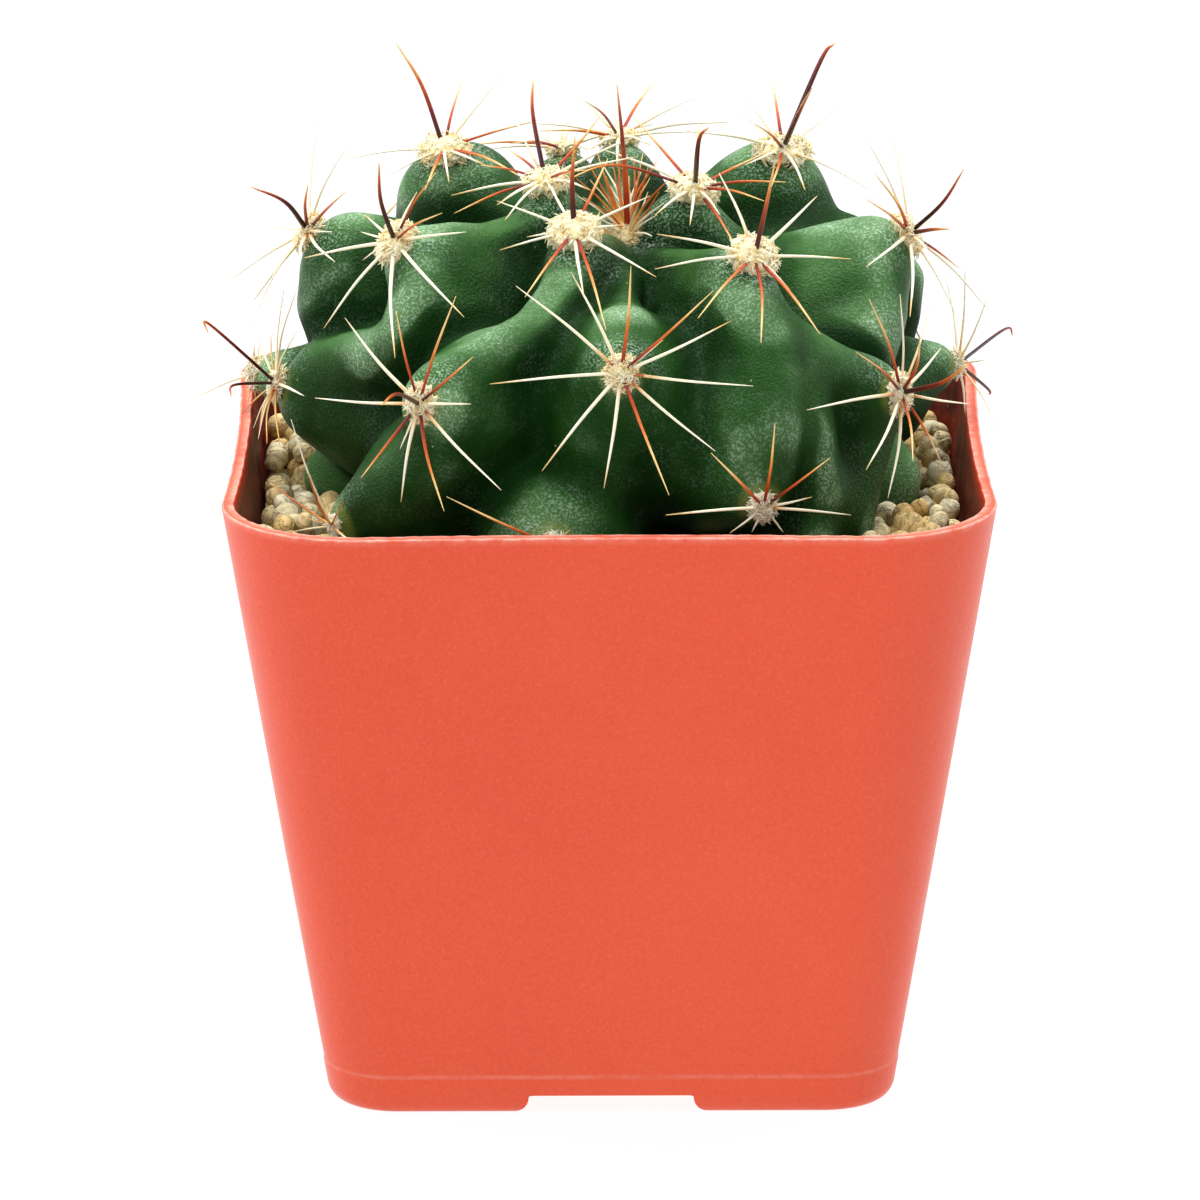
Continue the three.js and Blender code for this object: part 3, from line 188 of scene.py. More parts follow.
def add_attr(ob, name, values):
    a = ob.data.attributes.new(name, 'FLOAT', 'POINT')
    a.data.foreach_set("value", np.asarray(values, np.float32))

# ------------------------------------------------------------------ the stem's shape
# Areoles: name, surface point from the rim's centre, outward normal, tip radius, base radius,
# depth of the tubercle inside the stem, fullness of its underside, rib.
TUBERCLES = [
    ('a2', (-3.86, -12, 27.24), (-0.12, -0.548, 0.828), 2.8, 4.5, 9, 0, 'B'),
    ('a13', (-7.15, 1.5, 29.86), (-0.299, -0.12, 0.947), 3, 5, 10, 0, 'A'),
    ('a14', (9.91, 1, 28.73), (0.25, -0.12, 0.961), 3.6, 5.5, 10, 0, 'E'),
    ('a3', (16.23, -20, 26), (0.382, -0.623, 0.683), 3.2, 5, 13, 0, 'D'),
    ('a1', (-23.75, -12, 25.76), (-0.621, -0.451, 0.641), 3, 5.2, 13, 0, 'A'),
    ('a12', (-19.33, 18.2, 29.81), (-0.25, -0.34, 0.906), 7.7, 8.2, 15, 0, 'H2'),
    ('a15', (20.67, 18.5, 29.6), (0.21, -0.33, 0.92), 7.1, 8.2, 15, 0, 'F'),
    ('a16', (1.33, 24, 29.68), (0, 0.122, 0.993), 3.4, 4.4, 12, 0, 'G'),
    ('a21', (-5.38, 30, 26.9), (-0.123, 0.204, 0.971), 3.9, 4.6, 12, 0, 'G2'),
    ('a9', (-34.19, 4, 23.18), (-0.857, -0.08, 0.508), 4, 6.2, 14, 0, 'H'),
    ('a10', (34.64, 2, 23.45), (0.866, -0.149, 0.478), 4.2, 6.2, 14, 0, 'E'),
    ('a4', (1.35, -37.6, 17.61), (0.02, -0.953, 0.301), 3.8, 5, 14, 0, 'C'),
    ('a5', (-20.82, -34, 13.18), (-0.503, -0.845, 0.181), 3.4, 6.5, 15, 0, 'B'),
    ('a6', (32.89, -22, 10.92), (0.842, -0.521, 0.14), 3.8, 6.5, 15, 0, 'D2'),
    ('a8', (-38.51, -3, 7.1), (-0.93, -0.18, 0.32), 5.3, 8.5, 14, 0, 'A'),
    ('a11', (40.95, 7, 6.57), (0.95, 0.31, 0.04), 3, 6.2, 14, 0, 'E2'),
    ('a7', (17.12, -36.5, 1.71), (0.382, -0.924, 0), 3.6, 6.5, 14, 0, 'D'),
    ('a17', (-31.57, -26, -3.5), (-0.815, -0.57, -0.102), 3.4, 8, 13, 0, 'B'),
    ('a18', (-6.5, -38, -2.5), (-0.1, -0.98, 0.17), 9.6, 9.4, 15, 0, 'C2'),
    ('a11b', (-41.58, 13, 4.13), (-0.95, 0.303, 0.081), 3.4, 5.5, 14, 0, 'H3'),
    ('a19', (-36, 3, -6.5), (-0.989, -0.104, -0.104), 4.2, 6.5, 12, 0, 'A2'),
    ('a20', (36.3, -6, -4.8), (0.982, -0.155, -0.103), 4.6, 7, 13, 0, 'E3'),
    ('a22', (24.5, -32, -4.5), (0.607, -0.789, -0.101), 4.5, 7, 12, 0, 'D3'),
    ('a23', (33, 24.5, 13), (0.702, 0.662, 0.261), 3.6, 8, 15, 0, 'F'),
    ('a24', (13.7, 36, 13.5), (0.339, 0.898, 0.279), 3.6, 8.5, 15, 0, 'G'),
    ('a25', (-13, 36.5, 12.5), (-0.349, 0.898, 0.269), 3.6, 8.5, 15, 0, 'G2'),
    ('a26', (-30, 25, 14), (-0.754, 0.603, 0.261), 3.6, 8, 15, 0, 'H2'),
    ('a27', (1, 37.5, 1), (0.02, 0.999, 0.05), 3.6, 8.5, 15, 0, 'G'),
    ('a28', (27.5, 29, 1), (0.681, 0.731, 0.05), 3.6, 8.5, 15, 0, 'F'),
    ('a29', (-24, 30.5, 1), (-0.599, 0.799, 0.05), 3.6, 8.5, 15, 0, 'G2'),
]
CRESTS = [
    ('A', ((-7.97, 0, 28.07), (-12.03, -3.5, 27.28), (-15.95, -7, 26.5), (-19.84, -10, 27.03), (-22.7, -12.5, 26.12)), 3.2, 4.2),
    ('A', ((-23.72, -14, 24.6), (-24.48, -18, 21.36), (-25.63, -19.5, 17.71), (-28.51, -16, 14.65), (-32.4, -10, 12.34), (-36.07, -5, 10.29)), 3.6, 6),
    ('A', ((-33, -7, 6), (-27, -14, 2), (-23, -18, -4)), 6.5, 7.5),
    ('B', ((-0.04, -5, 25.1), (-2.14, -9, 25.4)), 2.6, 3.6),
    ('B', ((-4.67, -14.5, 25.14), (-6.04, -21, 23.02), (-9, -27.5, 20.24), (-12.85, -31, 18.82), (-16.71, -33, 17.02), (-19.67, -34.2, 14.53)), 3.2, 5.5),
    ('B', ((-20.83, -34, 11.77), (-21.56, -33.5, 7.5), (-24.13, -32, 3.54), (-27.89, -29.5, -0.49)), 4.6, 8),
    ('C', ((2.04, -6, 23.91), (1.9, -12, 22.45), (1.64, -20.5, 21.09), (1.38, -29, 19.42)), 2.1, 2.6),
    ('C', ((1.38, -29, 19.42), (1.36, -34.5, 18.06)), 3.1, 4.6),
    ('C', ((0.32, -36, 13.42), (-0.6, -35, 9.03), (-1.07, -34, 4.02)), 6, 10),
    ('C', ((4.07, -35, 13.96), (8.05, -34, 9.67), (10.33, -33.5, 5.03)), 5, 9),
    ('D', ((4.61, -4, 23.39), (9.45, -9.5, 24.3), (13.77, -15.5, 24.86)), 2.9, 3.9),
    ('D', ((16.98, -23, 24.17), (18.72, -28, 21.93), (20.03, -31, 19.07), (20.56, -33.5, 15.03), (20.19, -35.5, 10.27), (18.82, -36.5, 5.25)), 4.2, 5.2),
    ('D', ((17.15, -34, 9.87), (15.12, -33.5, 3.83)), 6, 8),
    ('D2', ((17.9, -22.5, 23.92), (20.11, -27, 20.72), (24.35, -27, 17.4), (29.01, -24.5, 13.63)), 3.4, 5.5),
    ('D2', ((22.44, -31, 14.34), (24.27, -31.5, 7.97), (25.46, -31, 0.12)), 4.5, 8),
    ('D2', ((32.58, -21.5, 8.52), (31.64, -23, 3.8), (30.22, -25, -1.01), (29.06, -26, -4.91)), 5, 8),
    ('E', ((9.91, 0.5, 27.65), (13.07, 1, 26.19), (17.76, 1.5, 23.15), (22.47, 2, 20.83), (25.98, 2, 20.58), (29.73, 2, 21.17), (32.43, 2, 21.41)), 4.2, 5.2),
    ('E', ((34.71, 0, 21.06), (34.75, -3, 17.01), (33.48, -7, 13.24)), 4.4, 6),
    ('E2', ((32, 5, 2), (37.5, 6, 2.5)), 6, 7),
    ('E3', ((33, -3, 1), (34, -5, -6)), 6, 7),
    ('F', ((6, 5, 25.2), (11, 14, 26.4), (16, 20, 26.5)), 3.4, 4.4),
    ('F', ((25, 24, 21), (32, 21, 16)), 5.5, 6.5),
    ('F', ((34.5, 22, 8), (31, 26, 2)), 6.5, 7.5),
    ('F', ((31, 17, 20.5), (34.6, 14.5, 19), (37.1, 14, 16.2), (36.8, 14, 12), (35.7, 14, 8)), 3.4, 6),
    ('G', ((2.4, 6, 24.6), (1.6, 14, 25.6), (1.3, 21, 27.2)), 2.8, 3.8),
    ('G', ((3, 27, 25), (8, 33, 19), (12, 35.5, 13)), 4.5, 5.5),
    ('G', ((12, 35, 8), (5, 37, 2)), 6.5, 7.5),
    ('G2', ((-1, 7, 24.8), (-4, 17, 23.2), (-5.5, 26, 24.2)), 2.8, 3.8),
    ('G2', ((-8, 32, 22), (-12, 36, 14)), 4.2, 5.2),
    ('G2', ((-14, 36, 8), (-21, 32, 2)), 6.5, 7.5),
    ('H2', ((-3, 4, 25), (-9, 12, 24.8), (-14, 18, 25.2)), 3.4, 4.4),
    ('H2', ((-21, 25, 20), (-28, 26, 15)), 5.5, 6.5),
    ('H2', ((-31, 24, 9), (-29, 25, 0)), 6.5, 7.5),
    ('H', ((-32.19, 4, 23.41), (-30.33, 4.5, 23.28), (-28.23, 5, 22.91), (-24.27, 6, 21.67), (-18.66, 8, 20.9), (-12.16, 8, 22.34)), 4.2, 5.2),
    ('H', ((-35.58, 2.5, 20.9), (-36.35, 3, 16.9), (-35.14, 3.5, 11.66)), 5, 6.5),
    ('H3', ((-30, 8, 4), (-36, 12, 4)), 5.5, 6.5),
    ('K', ((1.6, 1.2, 23.2), (2.6, 0.2, 23.2)), 5, 7),
]
ROOT = [((0, 0, -8), (0, 0, -22), 20.0, 9.0), ((0, 0, -22), (0.8, 0.4, -46), 8.0, 1.3)]
CORE_C = np.array((0, 0, 1.0))
CORE_R = np.array((24.5, 25.0, 18.5))
HEART = np.array((0, 0, 4.5))
FAN_STEP, FAN_DEPTH, SOFTEN = 2.2, 12.0, 0.6
BLEND_RIB, BLEND_BETWEEN = 3.5, 1.0
FAR = 6.0

def unit(v):
    v = np.asarray(v, float)
    return v / np.linalg.norm(v)

def cones():
    ribs = {}
    for name, p, n, tip, base, depth, chin, g in TUBERCLES:
        L = ribs.setdefault(g, [])
        p = np.array(p, float)
        n = unit(n)
        L.append([(p - n * depth, p - n * tip, base, tip)])
        if chin > 0:
            d = np.array((0, 0, -1.0))
            d = unit(d - (d @ n) * n)
            L.append([(p - n * depth + d * 5 * chin, p - n * (tip + 4.0) + d * 4.5 * chin, base, tip + 2.0)])
    def inward(q, r):
        return q - unit(q - HEART) * r
    for g, pts, r, base in CRESTS:
        P = [np.array(q, float) for q in pts]
        chain = []
        for a, b in zip(P[:-1], P[1:]):
            chain.append((inward(a, r), inward(b, r), r, r))
            steps = max(1, math.ceil(np.linalg.norm(b - a) / FAN_STEP))
            for j in range(steps):
                x = a + (b - a) * ((j + 0.5) / steps)
                chain.append((inward(x, FAN_DEPTH), inward(x, r), base, r))
        ribs.setdefault(g, []).append(chain)
    return ribs

def round_cone(X, a, b, r1, r2):
    ba = b - a
    l2 = float(ba @ ba)
    rr = r1 - r2
    a2 = l2 - rr * rr
    il2 = 1.0 / l2
    pa = X - a.astype(np.float32)
    y = pa @ ba.astype(np.float32)
    z = y - np.float32(l2)
    w = pa * np.float32(l2) - ba.astype(np.float32) * y[..., None]
    x2 = (w * w).sum(-1)
    y2 = y * y * np.float32(l2)
    z2 = z * z * np.float32(l2)
    k = np.sign(rr) * rr * rr * x2
    out = (np.sqrt(x2 * np.float32(a2 * il2)) + y * np.float32(rr)) * np.float32(il2) - np.float32(r1)
    m1 = np.sign(z) * a2 * z2 > k
    out = np.where(m1, np.sqrt(x2 + z2) * np.float32(il2) - np.float32(r2), out)
    m2 = (~m1) & (np.sign(y) * a2 * y2 < k)
    return np.where(m2, np.sqrt(x2 + y2) * np.float32(il2) - np.float32(r1), out).astype(np.float32)

def smin(a, b, k):
    h = np.maximum(k - np.abs(a - b), 0) / k
    return np.minimum(a, b) - h * h * (k * 0.25)

class Field:
    """The stem's distance field on a grid, millimetres from the rim's centre."""
    def __init__(self, vx):
        self.vx = vx
        self.lo = np.array((-48.0, -47.0, -50.0))
        hi = np.array((48.0, 47.0, 36.0))
        self.n = np.ceil((hi - self.lo) / vx).astype(int)
        self.axes = [(self.lo[i] + vx * np.arange(self.n[i])).astype(np.float32) for i in range(3)]
        core = self.block((0, 0, 0), self.n)
        q = (core - CORE_C.astype(np.float32)) / CORE_R.astype(np.float32)
        k0 = np.sqrt((q * q).sum(-1))
        q /= CORE_R.astype(np.float32)
        k1 = np.sqrt((q * q).sum(-1)) + 1e-9
        self.f = np.minimum(k0 * (k0 - 1) / k1, FAR).astype(np.float32)
        del core, q, k0, k1
        for g, L in cones().items():
            lo, hi = self.span([c for chain in L for c in chain], BLEND_RIB + BLEND_BETWEEN + 1)
            part = np.full(hi - lo, FAR, np.float32)
            self.splat(part, lo, L, BLEND_RIB)
            sl = tuple(slice(lo[k], hi[k]) for k in range(3))
            self.f[sl] = smin(self.f[sl], part, BLEND_BETWEEN)
        root = [[(np.array(a, float), np.array(b, float), r1, r2)] for a, b, r1, r2 in ROOT]
        self.splat(self.f, np.zeros(3, int), root, 5.0)
        self.soften(SOFTEN / vx)
    def soften(self, sigma):
        r = int(math.ceil(2.5 * sigma))
        w = np.exp(-0.5 * (np.arange(-r, r + 1) / sigma) ** 2)
        w /= w.sum()
        for ax in range(3):
            pad = [(0, 0)] * 3
            pad[ax] = (r, r)
            q = np.pad(self.f, pad, mode='edge')
            out = np.zeros_like(self.f)
            for i, c in enumerate(w):
                sl = [slice(None)] * 3
                sl[ax] = slice(i, i + self.f.shape[ax])
                out += np.float32(c) * q[tuple(sl)]
            self.f = out
    def block(self, lo, hi):
        return np.stack(np.meshgrid(*[self.axes[i][lo[i]:hi[i]] for i in range(3)], indexing='ij'), -1)
    def span(self, L, m):
        l = np.min([np.minimum(a - r1, b - r2) for a, b, r1, r2 in L], 0) - m
        h = np.max([np.maximum(a + r1, b + r2) for a, b, r1, r2 in L], 0) + m
        return (np.clip(np.floor((l - self.lo) / self.vx).astype(int), 0, self.n),
                np.clip(np.ceil((h - self.lo) / self.vx).astype(int) + 1, 0, self.n))
    def splat(self, f, off, L, k):
        for chain in L:
            lo, hi = self.span(chain, k + 1)
            d = np.full(hi - lo, FAR + k + 1, np.float32)
            for c in chain:
                l, h = self.span([c], k + 1)
                l, h = np.clip(l, lo, hi), np.clip(h, lo, hi)
                sl = tuple(slice(l[i] - lo[i], h[i] - lo[i]) for i in range(3))
                d[sl] = np.minimum(d[sl], round_cone(self.block(l, h), *c))
            sl = tuple(slice(lo[i] - off[i], hi[i] - off[i]) for i in range(3))
            f[sl] = smin(f[sl], d, k)
    def at(self, p):
        """Trilinear distance at points."""
        p = np.atleast_2d(p)
        q = np.clip((p - self.lo) / self.vx, 0, self.n - 1.001)
        i = np.floor(q).astype(int)
        t = q - i
        out = 0
        for dx in (0, 1):
            for dy in (0, 1):
                for dz in (0, 1):
                    w = (t[:, 0] if dx else 1 - t[:, 0]) * (t[:, 1] if dy else 1 - t[:, 1]) * (t[:, 2] if dz else 1 - t[:, 2])
                    out = out + w * self.f[i[:, 0] + dx, i[:, 1] + dy, i[:, 2] + dz]
        return out
    def grad(self, p, h=0.6):
        g = np.stack([self.at(p + np.eye(3)[i] * h) - self.at(p - np.eye(3)[i] * h) for i in range(3)], -1)
        return g / (np.linalg.norm(g, axis=1, keepdims=True) + 1e-9)

field = Field(0.42)

# [name, surface point, outward normal, [[kind, point, ..., tip], ...]]
AREOLES = [
    ('a2', (-3.88, -12.1, 27.39), (-0.12, -0.548, 0.828), [
        ('D', (-3.82, -11.6, 38.9)), ('c', (-12.87, -10.35, 30.91)), ('c', (-9.4, -13.1, 27.3)),
        ('c', (-12.51, -15.1, 26.27)), ('r', (-9.57, -25.6, 23.4)), ('c', (-2.83, -23.6, 22.86)),
        ('c', (5.43, -21.6, 24.68)), ('c', (4.82, -10.6, 31.5)), ('c', (-7.22, -6.1, 32.34)),
        ('r', (-0.33, -32.6, 21.32)), ('c', (1.91, -13.6, 28.82)), ('r', (-0.01, -4.31, 34.48)),
    ]),
    ('a14', (10, 0.96, 29.07), (0.25, -0.12, 0.961), [
        ('D', (10.51, -7.81, 37.46), (11.64, -10.54, 39.66)), ('r', (2.95, 8.46, 36.45)),
        ('r', (10.74, 11.96, 34.98)), ('r', (18.46, 8.46, 31.93)), ('r', (20.75, -0.54, 30.63)),
        ('r', (18.01, -10.04, 30.73)), ('r', (14.86, -12.04, 25.52)),
        ('r', (0.8, -5.78, 34.02), (-5.46, -10.51, 33.18)), ('c', (5.38, -12.04, 29.6)),
        ('c', (12.9, -11.04, 29.33)), ('c', (9.42, -12.54, 28.52)), ('c', (-0.68, 3.44, 33.65)),
    ]),
    ('a13', (-7.17, 1.49, 29.93), (-0.299, -0.12, 0.947), [
        ('D', (-8.78, 6.13, 37.17), (-8.77, 8.49, 40.94)), ('r', (-15.03, 6.49, 31.07)),
        ('r', (-11.64, 8.99, 32.27)), ('f', (-11.32, 14.99, 35.66)),
        ('r', (-3.4, 5.12, 34.02), (-0.93, 7.49, 36.69)), ('r', (-2.69, -7.11, 33.76)), ('c', (-12.89, -9.01, 30.1)),
        ('c', (-11.96, -10.51, 28.68)), ('c', (-5.6, -8.11, 29.61)), ('c', (-2.11, -10.01, 32.1)),
        ('c', (3.36, -2.72, 34.25)), ('c', (3.4, 2.23, 35.57)), ('c', (-18.38, 2.01, 28.53)),
        ('r', (-17.9, -4.73, 28.06)),
    ]),
    ('a3', (16.53, -20.49, 26.53), (0.382, -0.623, 0.683), [
        ('D', (19.03, -21.99, 38.28)), ('c', (12.72, -15.99, 35.53)), ('c', (24.06, -12.99, 32.03)),
        ('c', (27.89, -17.49, 25.68)), ('r', (24, -31.49, 20.47)), ('r', (17.19, -36.99, 20.9)),
        ('r', (10.09, -34.99, 23.32)), ('c', (5.26, -29.49, 27.65)), ('c', (5.52, -25.99, 30.86)),
        ('c', (20.74, -23.99, 23.71)),
    ]),
    ('a16', (1.33, 23.99, 29.57), (0, 0.122, 0.993), [
        ('r', (-2.69, 12.49, 37.32)), ('r', (5.48, 36.99, 33.71)), ('f', (-0.54, 38.99, 34.25)),
        ('f', (12.18, 32.99, 33.64)), ('f', (-6.93, 36.99, 34.86)), ('c', (-2.12, 11.49, 31.63)),
        ('c', (4.96, 11.99, 32.09)), ('c', (1.06, 9.49, 30.29)), ('c', (-9.83, 26.86, 31.26)),
        ('r', (-8.43, 18.79, 32.2)), ('c', (10.17, 17.77, 32.28)), ('c', (14.42, 24.44, 31.84)),
    ]),
    ('a1', (-24.37, -12.45, 26.4), (-0.621, -0.451, 0.641), [
        ('D', (-26.13, -23.95, 38.79)), ('r', (-19.79, -15.95, 35.75)), ('c', (-22.12, -9.95, 31.91)),
        ('r', (-19.01, -22.95, 32.65)), ('c', (-28.26, -5.95, 28.19)), ('c', (-28.71, -7.45, 26.54)),
        ('c', (-35.3, -9.47, 23.96)), ('c', (-28.41, -11.45, 24.21)), ('c', (-32.81, -17.95, 17.8)),
        ('c', (-24.44, -27.45, 16.74)), ('c', (-16.52, -27.95, 21.68)), ('c', (-16.3, -22.45, 30.28)),
    ]),
    ('a10', (34.79, 1.97, 23.53), (0.866, -0.149, 0.478), [
        ('D', (41.21, -7.53, 33.84)), ('D', (39.64, -7.53, 26.68)), ('r', (31.02, -7.53, 33.16)),
        ('r', (29.79, -10.53, 31.04)), ('f', (33.21, 6.97, 34.9)), ('f', (30.13, 1.97, 35.27)),
        ('f', (35.72, 10.47, 27.87)), ('c', (29.74, -13.53, 23.71)), ('c', (34.89, -12.53, 17.46)),
        ('f', (44.77, 3.94, 13.83)), ('c', (37.24, -10.53, 23.51)), ('f', (40.8, -4.6, 15.05)),
        ('r', (41.41, 8.92, 17.77)), ('f', (39.93, 14.14, 22.81)),
    ]),
    ('a12', (-19.32, 18.22, 29.76), (-0.25, -0.34, 0.906), [
        ('D', (-22.04, 20.55, 37.3), (-25.11, 22.22, 42.15)), ('r', (-17.36, 25.22, 36.8)),
        ('f', (-11.5, 24.72, 38.6)), ('f', (-23.59, 25.72, 33.89)), ('f', (-31.7, 18.72, 28.75)),
        ('f', (-26.15, 9.22, 28.99)), ('r', (-9.74, 3.72, 30.05)), ('c', (-18.7, 7.22, 28.85)),
        ('c', (-14.47, 8.72, 30.53)), ('r', (-21.47, 4.22, 28.64)), ('r', (-8.35, 15.84, 34.21)),
    ]),
    ('a4', (1.35, -37.53, 17.59), (0.02, -0.953, 0.301), [
        ('c', (-10.48, -37.03, 27.66)), ('c', (-4.27, -36.53, 29.14)), ('r', (2.5, -38.53, 30.33)),
        ('r', (11.73, -39.53, 27.65)), ('c', (6.1, -37.53, 21.43)), ('c', (13.78, -38.03, 23.76)),
        ('c', (16.24, -40.03, 16.69)), ('c', (11.93, -42.03, 9.64)), ('r', (6.69, -47.03, 5.92)),
        ('c', (-0.62, -43.53, 5.77)), ('c', (-7.61, -43.53, 7.79)), ('c', (-13.45, -40.53, 17.16)),
    ]),
    ('a15', (20.66, 18.52, 29.55), (0.21, -0.33, 0.92), [
        ('D', (25.34, 21.8, 40.01), (27.01, 22.52, 41.91)), ('D', (23.86, 4.52, 40.68)),
        ('r', (19.73, 26.02, 36.24)), ('f', (14.12, 26.02, 37.48)), ('r', (17.23, 5.52, 36.14)),
        ('f', (32.37, 8.52, 26.42)), ('c', (16.12, 9.02, 30.35)), ('c', (24.95, 19.02, 29.46)),
        ('c', (23.16, 7.52, 27.67)), ('r', (18.96, 3.52, 28.67)), ('f', (15.13, 21.52, 34.02)),
        ('c', (9.32, 14.61, 33.09)), ('c', (27.48, 26.59, 32.98)),
    ]),
    ('a9', (-34.77, 3.95, 23.53), (-0.857, -0.08, 0.508), [
        ('D', (-37.71, -1.05, 28.56), (-41.47, -5.55, 31.48)), ('f', (-34.04, 12.45, 36.59)),
        ('r', (-34.82, -6.55, 32.07)), ('r', (-30.51, -7.55, 31.35)), ('f', (-45.21, 9.95, 15.99)),
        ('c', (-41.77, 5.95, 14.94)), ('f', (-40.82, 14.95, 21.29)), ('f', (-32.01, -9.55, 27.08)),
        ('c', (-35.8, -8.55, 23.25)), ('c', (-31.66, -11.05, 23.88)), ('f', (-30.62, 2.35, 34.26)),
        ('f', (-35.83, 14.82, 27.41)), ('f', (-41.24, -3.93, 15.77)),
    ]),
    ('a6', (33.14, -22.16, 10.96), (0.842, -0.521, 0.14), [
        ('r', (29.56, -31.16, 24.48)), ('r', (28.01, -34.66, 19.19)), ('r', (35.35, -32.16, 20.14)),
        ('c', (38.41, -15.16, 14.43)), ('D', (40.75, -36.66, 18.39)), ('c', (41.77, -13.66, 7.3)),
        ('r', (38.45, -22.66, 2.37)), ('r', (34.61, -33.16, 5.91)), ('c', (31.87, -30.66, 0.83)),
        ('c', (29.25, -33.66, 5.01)), ('c', (22.43, -36.66, 12.94)), ('f', (37.29, -16.79, 21.12)),
        ('f', (33.38, -22.53, 22.81)),
    ]),
    ('a5', (-21.33, -34.86, 13.36), (-0.503, -0.845, 0.181), [
        ('D', (-23.84, -45.18, 17.29), (-25.46, -52.86, 18.11)), ('r', (-24.07, -36.36, 24.61)),
        ('r', (-17.21, -40.36, 27.38)), ('r', (-15.31, -42.86, 20.94)), ('c', (-15.61, -40.36, 14.78)),
        ('c', (-12.24, -44.36, 5.81)), ('r', (-18.68, -44.86, 3.51)), ('c', (-23.67, -38.36, 2.73)),
        ('r', (-28.21, -37.36, 5.3)), ('c', (-23.78, -35.86, 8.28)), ('c', (-33.54, -30.36, 12.82)),
        ('c', (-30.02, -30.36, 22.24)),
    ]),
    ('a11', (40.81, 6.95, 6.56), (0.95, 0.31, 0.04), [
        ('d', (47.33, 18.05, 7.91), (48.38, 19.95, 6.54)), ('d', (45.16, 13.51, 1.73), (45.33, 14.45, 0.73)),
        ('c', (42.15, 6.45, 0.71)), ('f', (42.03, 19.95, 8.78)), ('r', (39.12, 21.45, 5.06)),
        ('c', (39.63, 17.95, 0.17)), ('f', (44.18, -0.05, 8.93)), ('f', (39.97, 15.34, 15.76)),
        ('f', (42.1, 8.16, 18.31)), ('f', (44.43, 1.2, 16.13)), ('f', (45.7, -1.12, 0.84)),
    ]),
    ('a8', (-38.46, -2.99, 7.08), (-0.93, -0.18, 0.32), [
        ('d', (-46.31, -12.11, 16.79), (-46.41, -12.99, 15.94)),
        ('d', (-43.59, -10.49, 9.02), (-43.88, -12.49, 8.12)), ('f', (-42.56, 8.01, 14.4)),
        ('g', (-39.87, 7.01, 10.26)), ('c', (-35.26, -16.49, 9.3)), ('g', (-40.59, -14.99, 4.58)),
        ('g', (-39.68, -14.99, 3.14)), ('g', (-38.14, -15.99, 3.17)), ('g', (-43.47, 5.01, 1.15)),
        ('f', (-36.23, -10.93, 15.48)), ('f', (-36.29, -4.65, 19.18)), ('f', (-38.05, 2.23, 17.6)),
        ('f', (-41.72, -2.19, 1.56)), ('f', (-41, -6.81, 1.48)),
    ]),
    ('a7', (17.29, -36.92, 1.71), (0.382, -0.924, 0), [
        ('r', (11.44, -44.92, 10.22)), ('r', (18.71, -41.42, 12.73)), ('r', (25.03, -37.92, 7.63)),
        ('c', (27.54, -34.42, -0.1)), ('c', (19.75, -36.42, -1.52)), ('c', (16.19, -37.92, -1.07)),
        ('c', (13.67, -39.42, -0.75)), ('c', (6.37, -43.92, 2.69)), ('c', (23.06, -35.42, 2.33)),
    ]),
    ('a17', (-31.49, -25.95, -3.49), (-0.815, -0.57, -0.102), [
        ('y', (-39.15, -21.45, 0.26)), ('y', (-34.3, -34.95, 5.23)), ('f', (-36.67, -21.95, -5.49)),
        ('g', (-30.12, -34.95, 2.02)), ('g', (-35.75, -20.95, -3.74)), ('f', (-36.5, -25.07, 8.87)),
        ('f', (-26.7, -36.03, -4.48)),
    ]),
    ('a18', (-6.5, -37.95, -2.51), (-0.1, -0.98, 0.17), [
        ('r', (-7, -38.45, -0.84)), ('r', (-4.49, -38.95, -0.47)), ('r', (-18.51, -38.09, 3.27)),
        ('r', (-11.4, -38.75, -4.52)), ('c', (-7.5, -39.56, -5.17)), ('c', (-4.69, -39.25, -5.3)),
        ('c', (2.61, -40.74, -3.42)),
    ]),
    ('a21', (-5.37, 29.98, 26.81), (-0.123, 0.204, 0.971), [
        ('f', (-8.81, 43.48, 28.62)), ('f', (-6.26, 43.98, 28.99)), ('f', (-3.35, 42.48, 27.6)),
        ('f', (-10.62, 40.98, 26.61)), ('c', (-2.36, 17.98, 30.05)), ('c', (3.35, 27.27, 30.44)),
        ('c', (5.53, 30.92, 30.03)), ('c', (3.18, 37.9, 28.32)), ('r', (-17.18, 34.98, 26.56)),
        ('c', (-14.48, 27.03, 28.01)), ('r', (-11.61, 19.41, 30.54)),
    ]),
    ('a11b', (-41.46, 12.96, 4.12), (-0.95, 0.303, 0.081), [
        ('c', (-40.97, 16.67, 4.02)), ('r', (-41.41, 15.69, 1.97)), ('c', (-42.08, 13.92, 0.77)),
        ('r', (-42.96, 12.66, 0.63)), ('c', (-48.38, 10.12, 2.24)), ('c', (-43.11, 9.85, 3.98)),
        ('c', (-42.62, 10.65, 6)), ('r', (-42.06, 12.23, 7.69)), ('c', (-41.41, 14.42, 7.84)),
        ('c', (-41.09, 15.47, 6.32)),
    ]),
    ('a23', (32.99, 24.49, 13), (0.702, 0.662, 0.261), [
        ('c', (36.09, 22.06, 13.47)), ('c', (35.69, 23.35, 10.99)), ('c', (38.88, 24.37, 1.98)),
        ('r', (35.14, 30.85, 1.67)), ('c', (29.11, 34.22, 6.83)), ('c', (26.93, 30.64, 14.84)),
        ('c', (29.1, 28.55, 18.33)), ('c', (31.12, 25.81, 18.88)), ('c', (33.61, 23.06, 19.22)),
        ('c', (34.91, 22.62, 14.68)), ('r', (35.54, 29.81, 10.26)), ('r', (33.44, 29.19, 17.46)),
    ]),
    ('a24', (13.79, 36.23, 13.57), (0.339, 0.898, 0.279), [
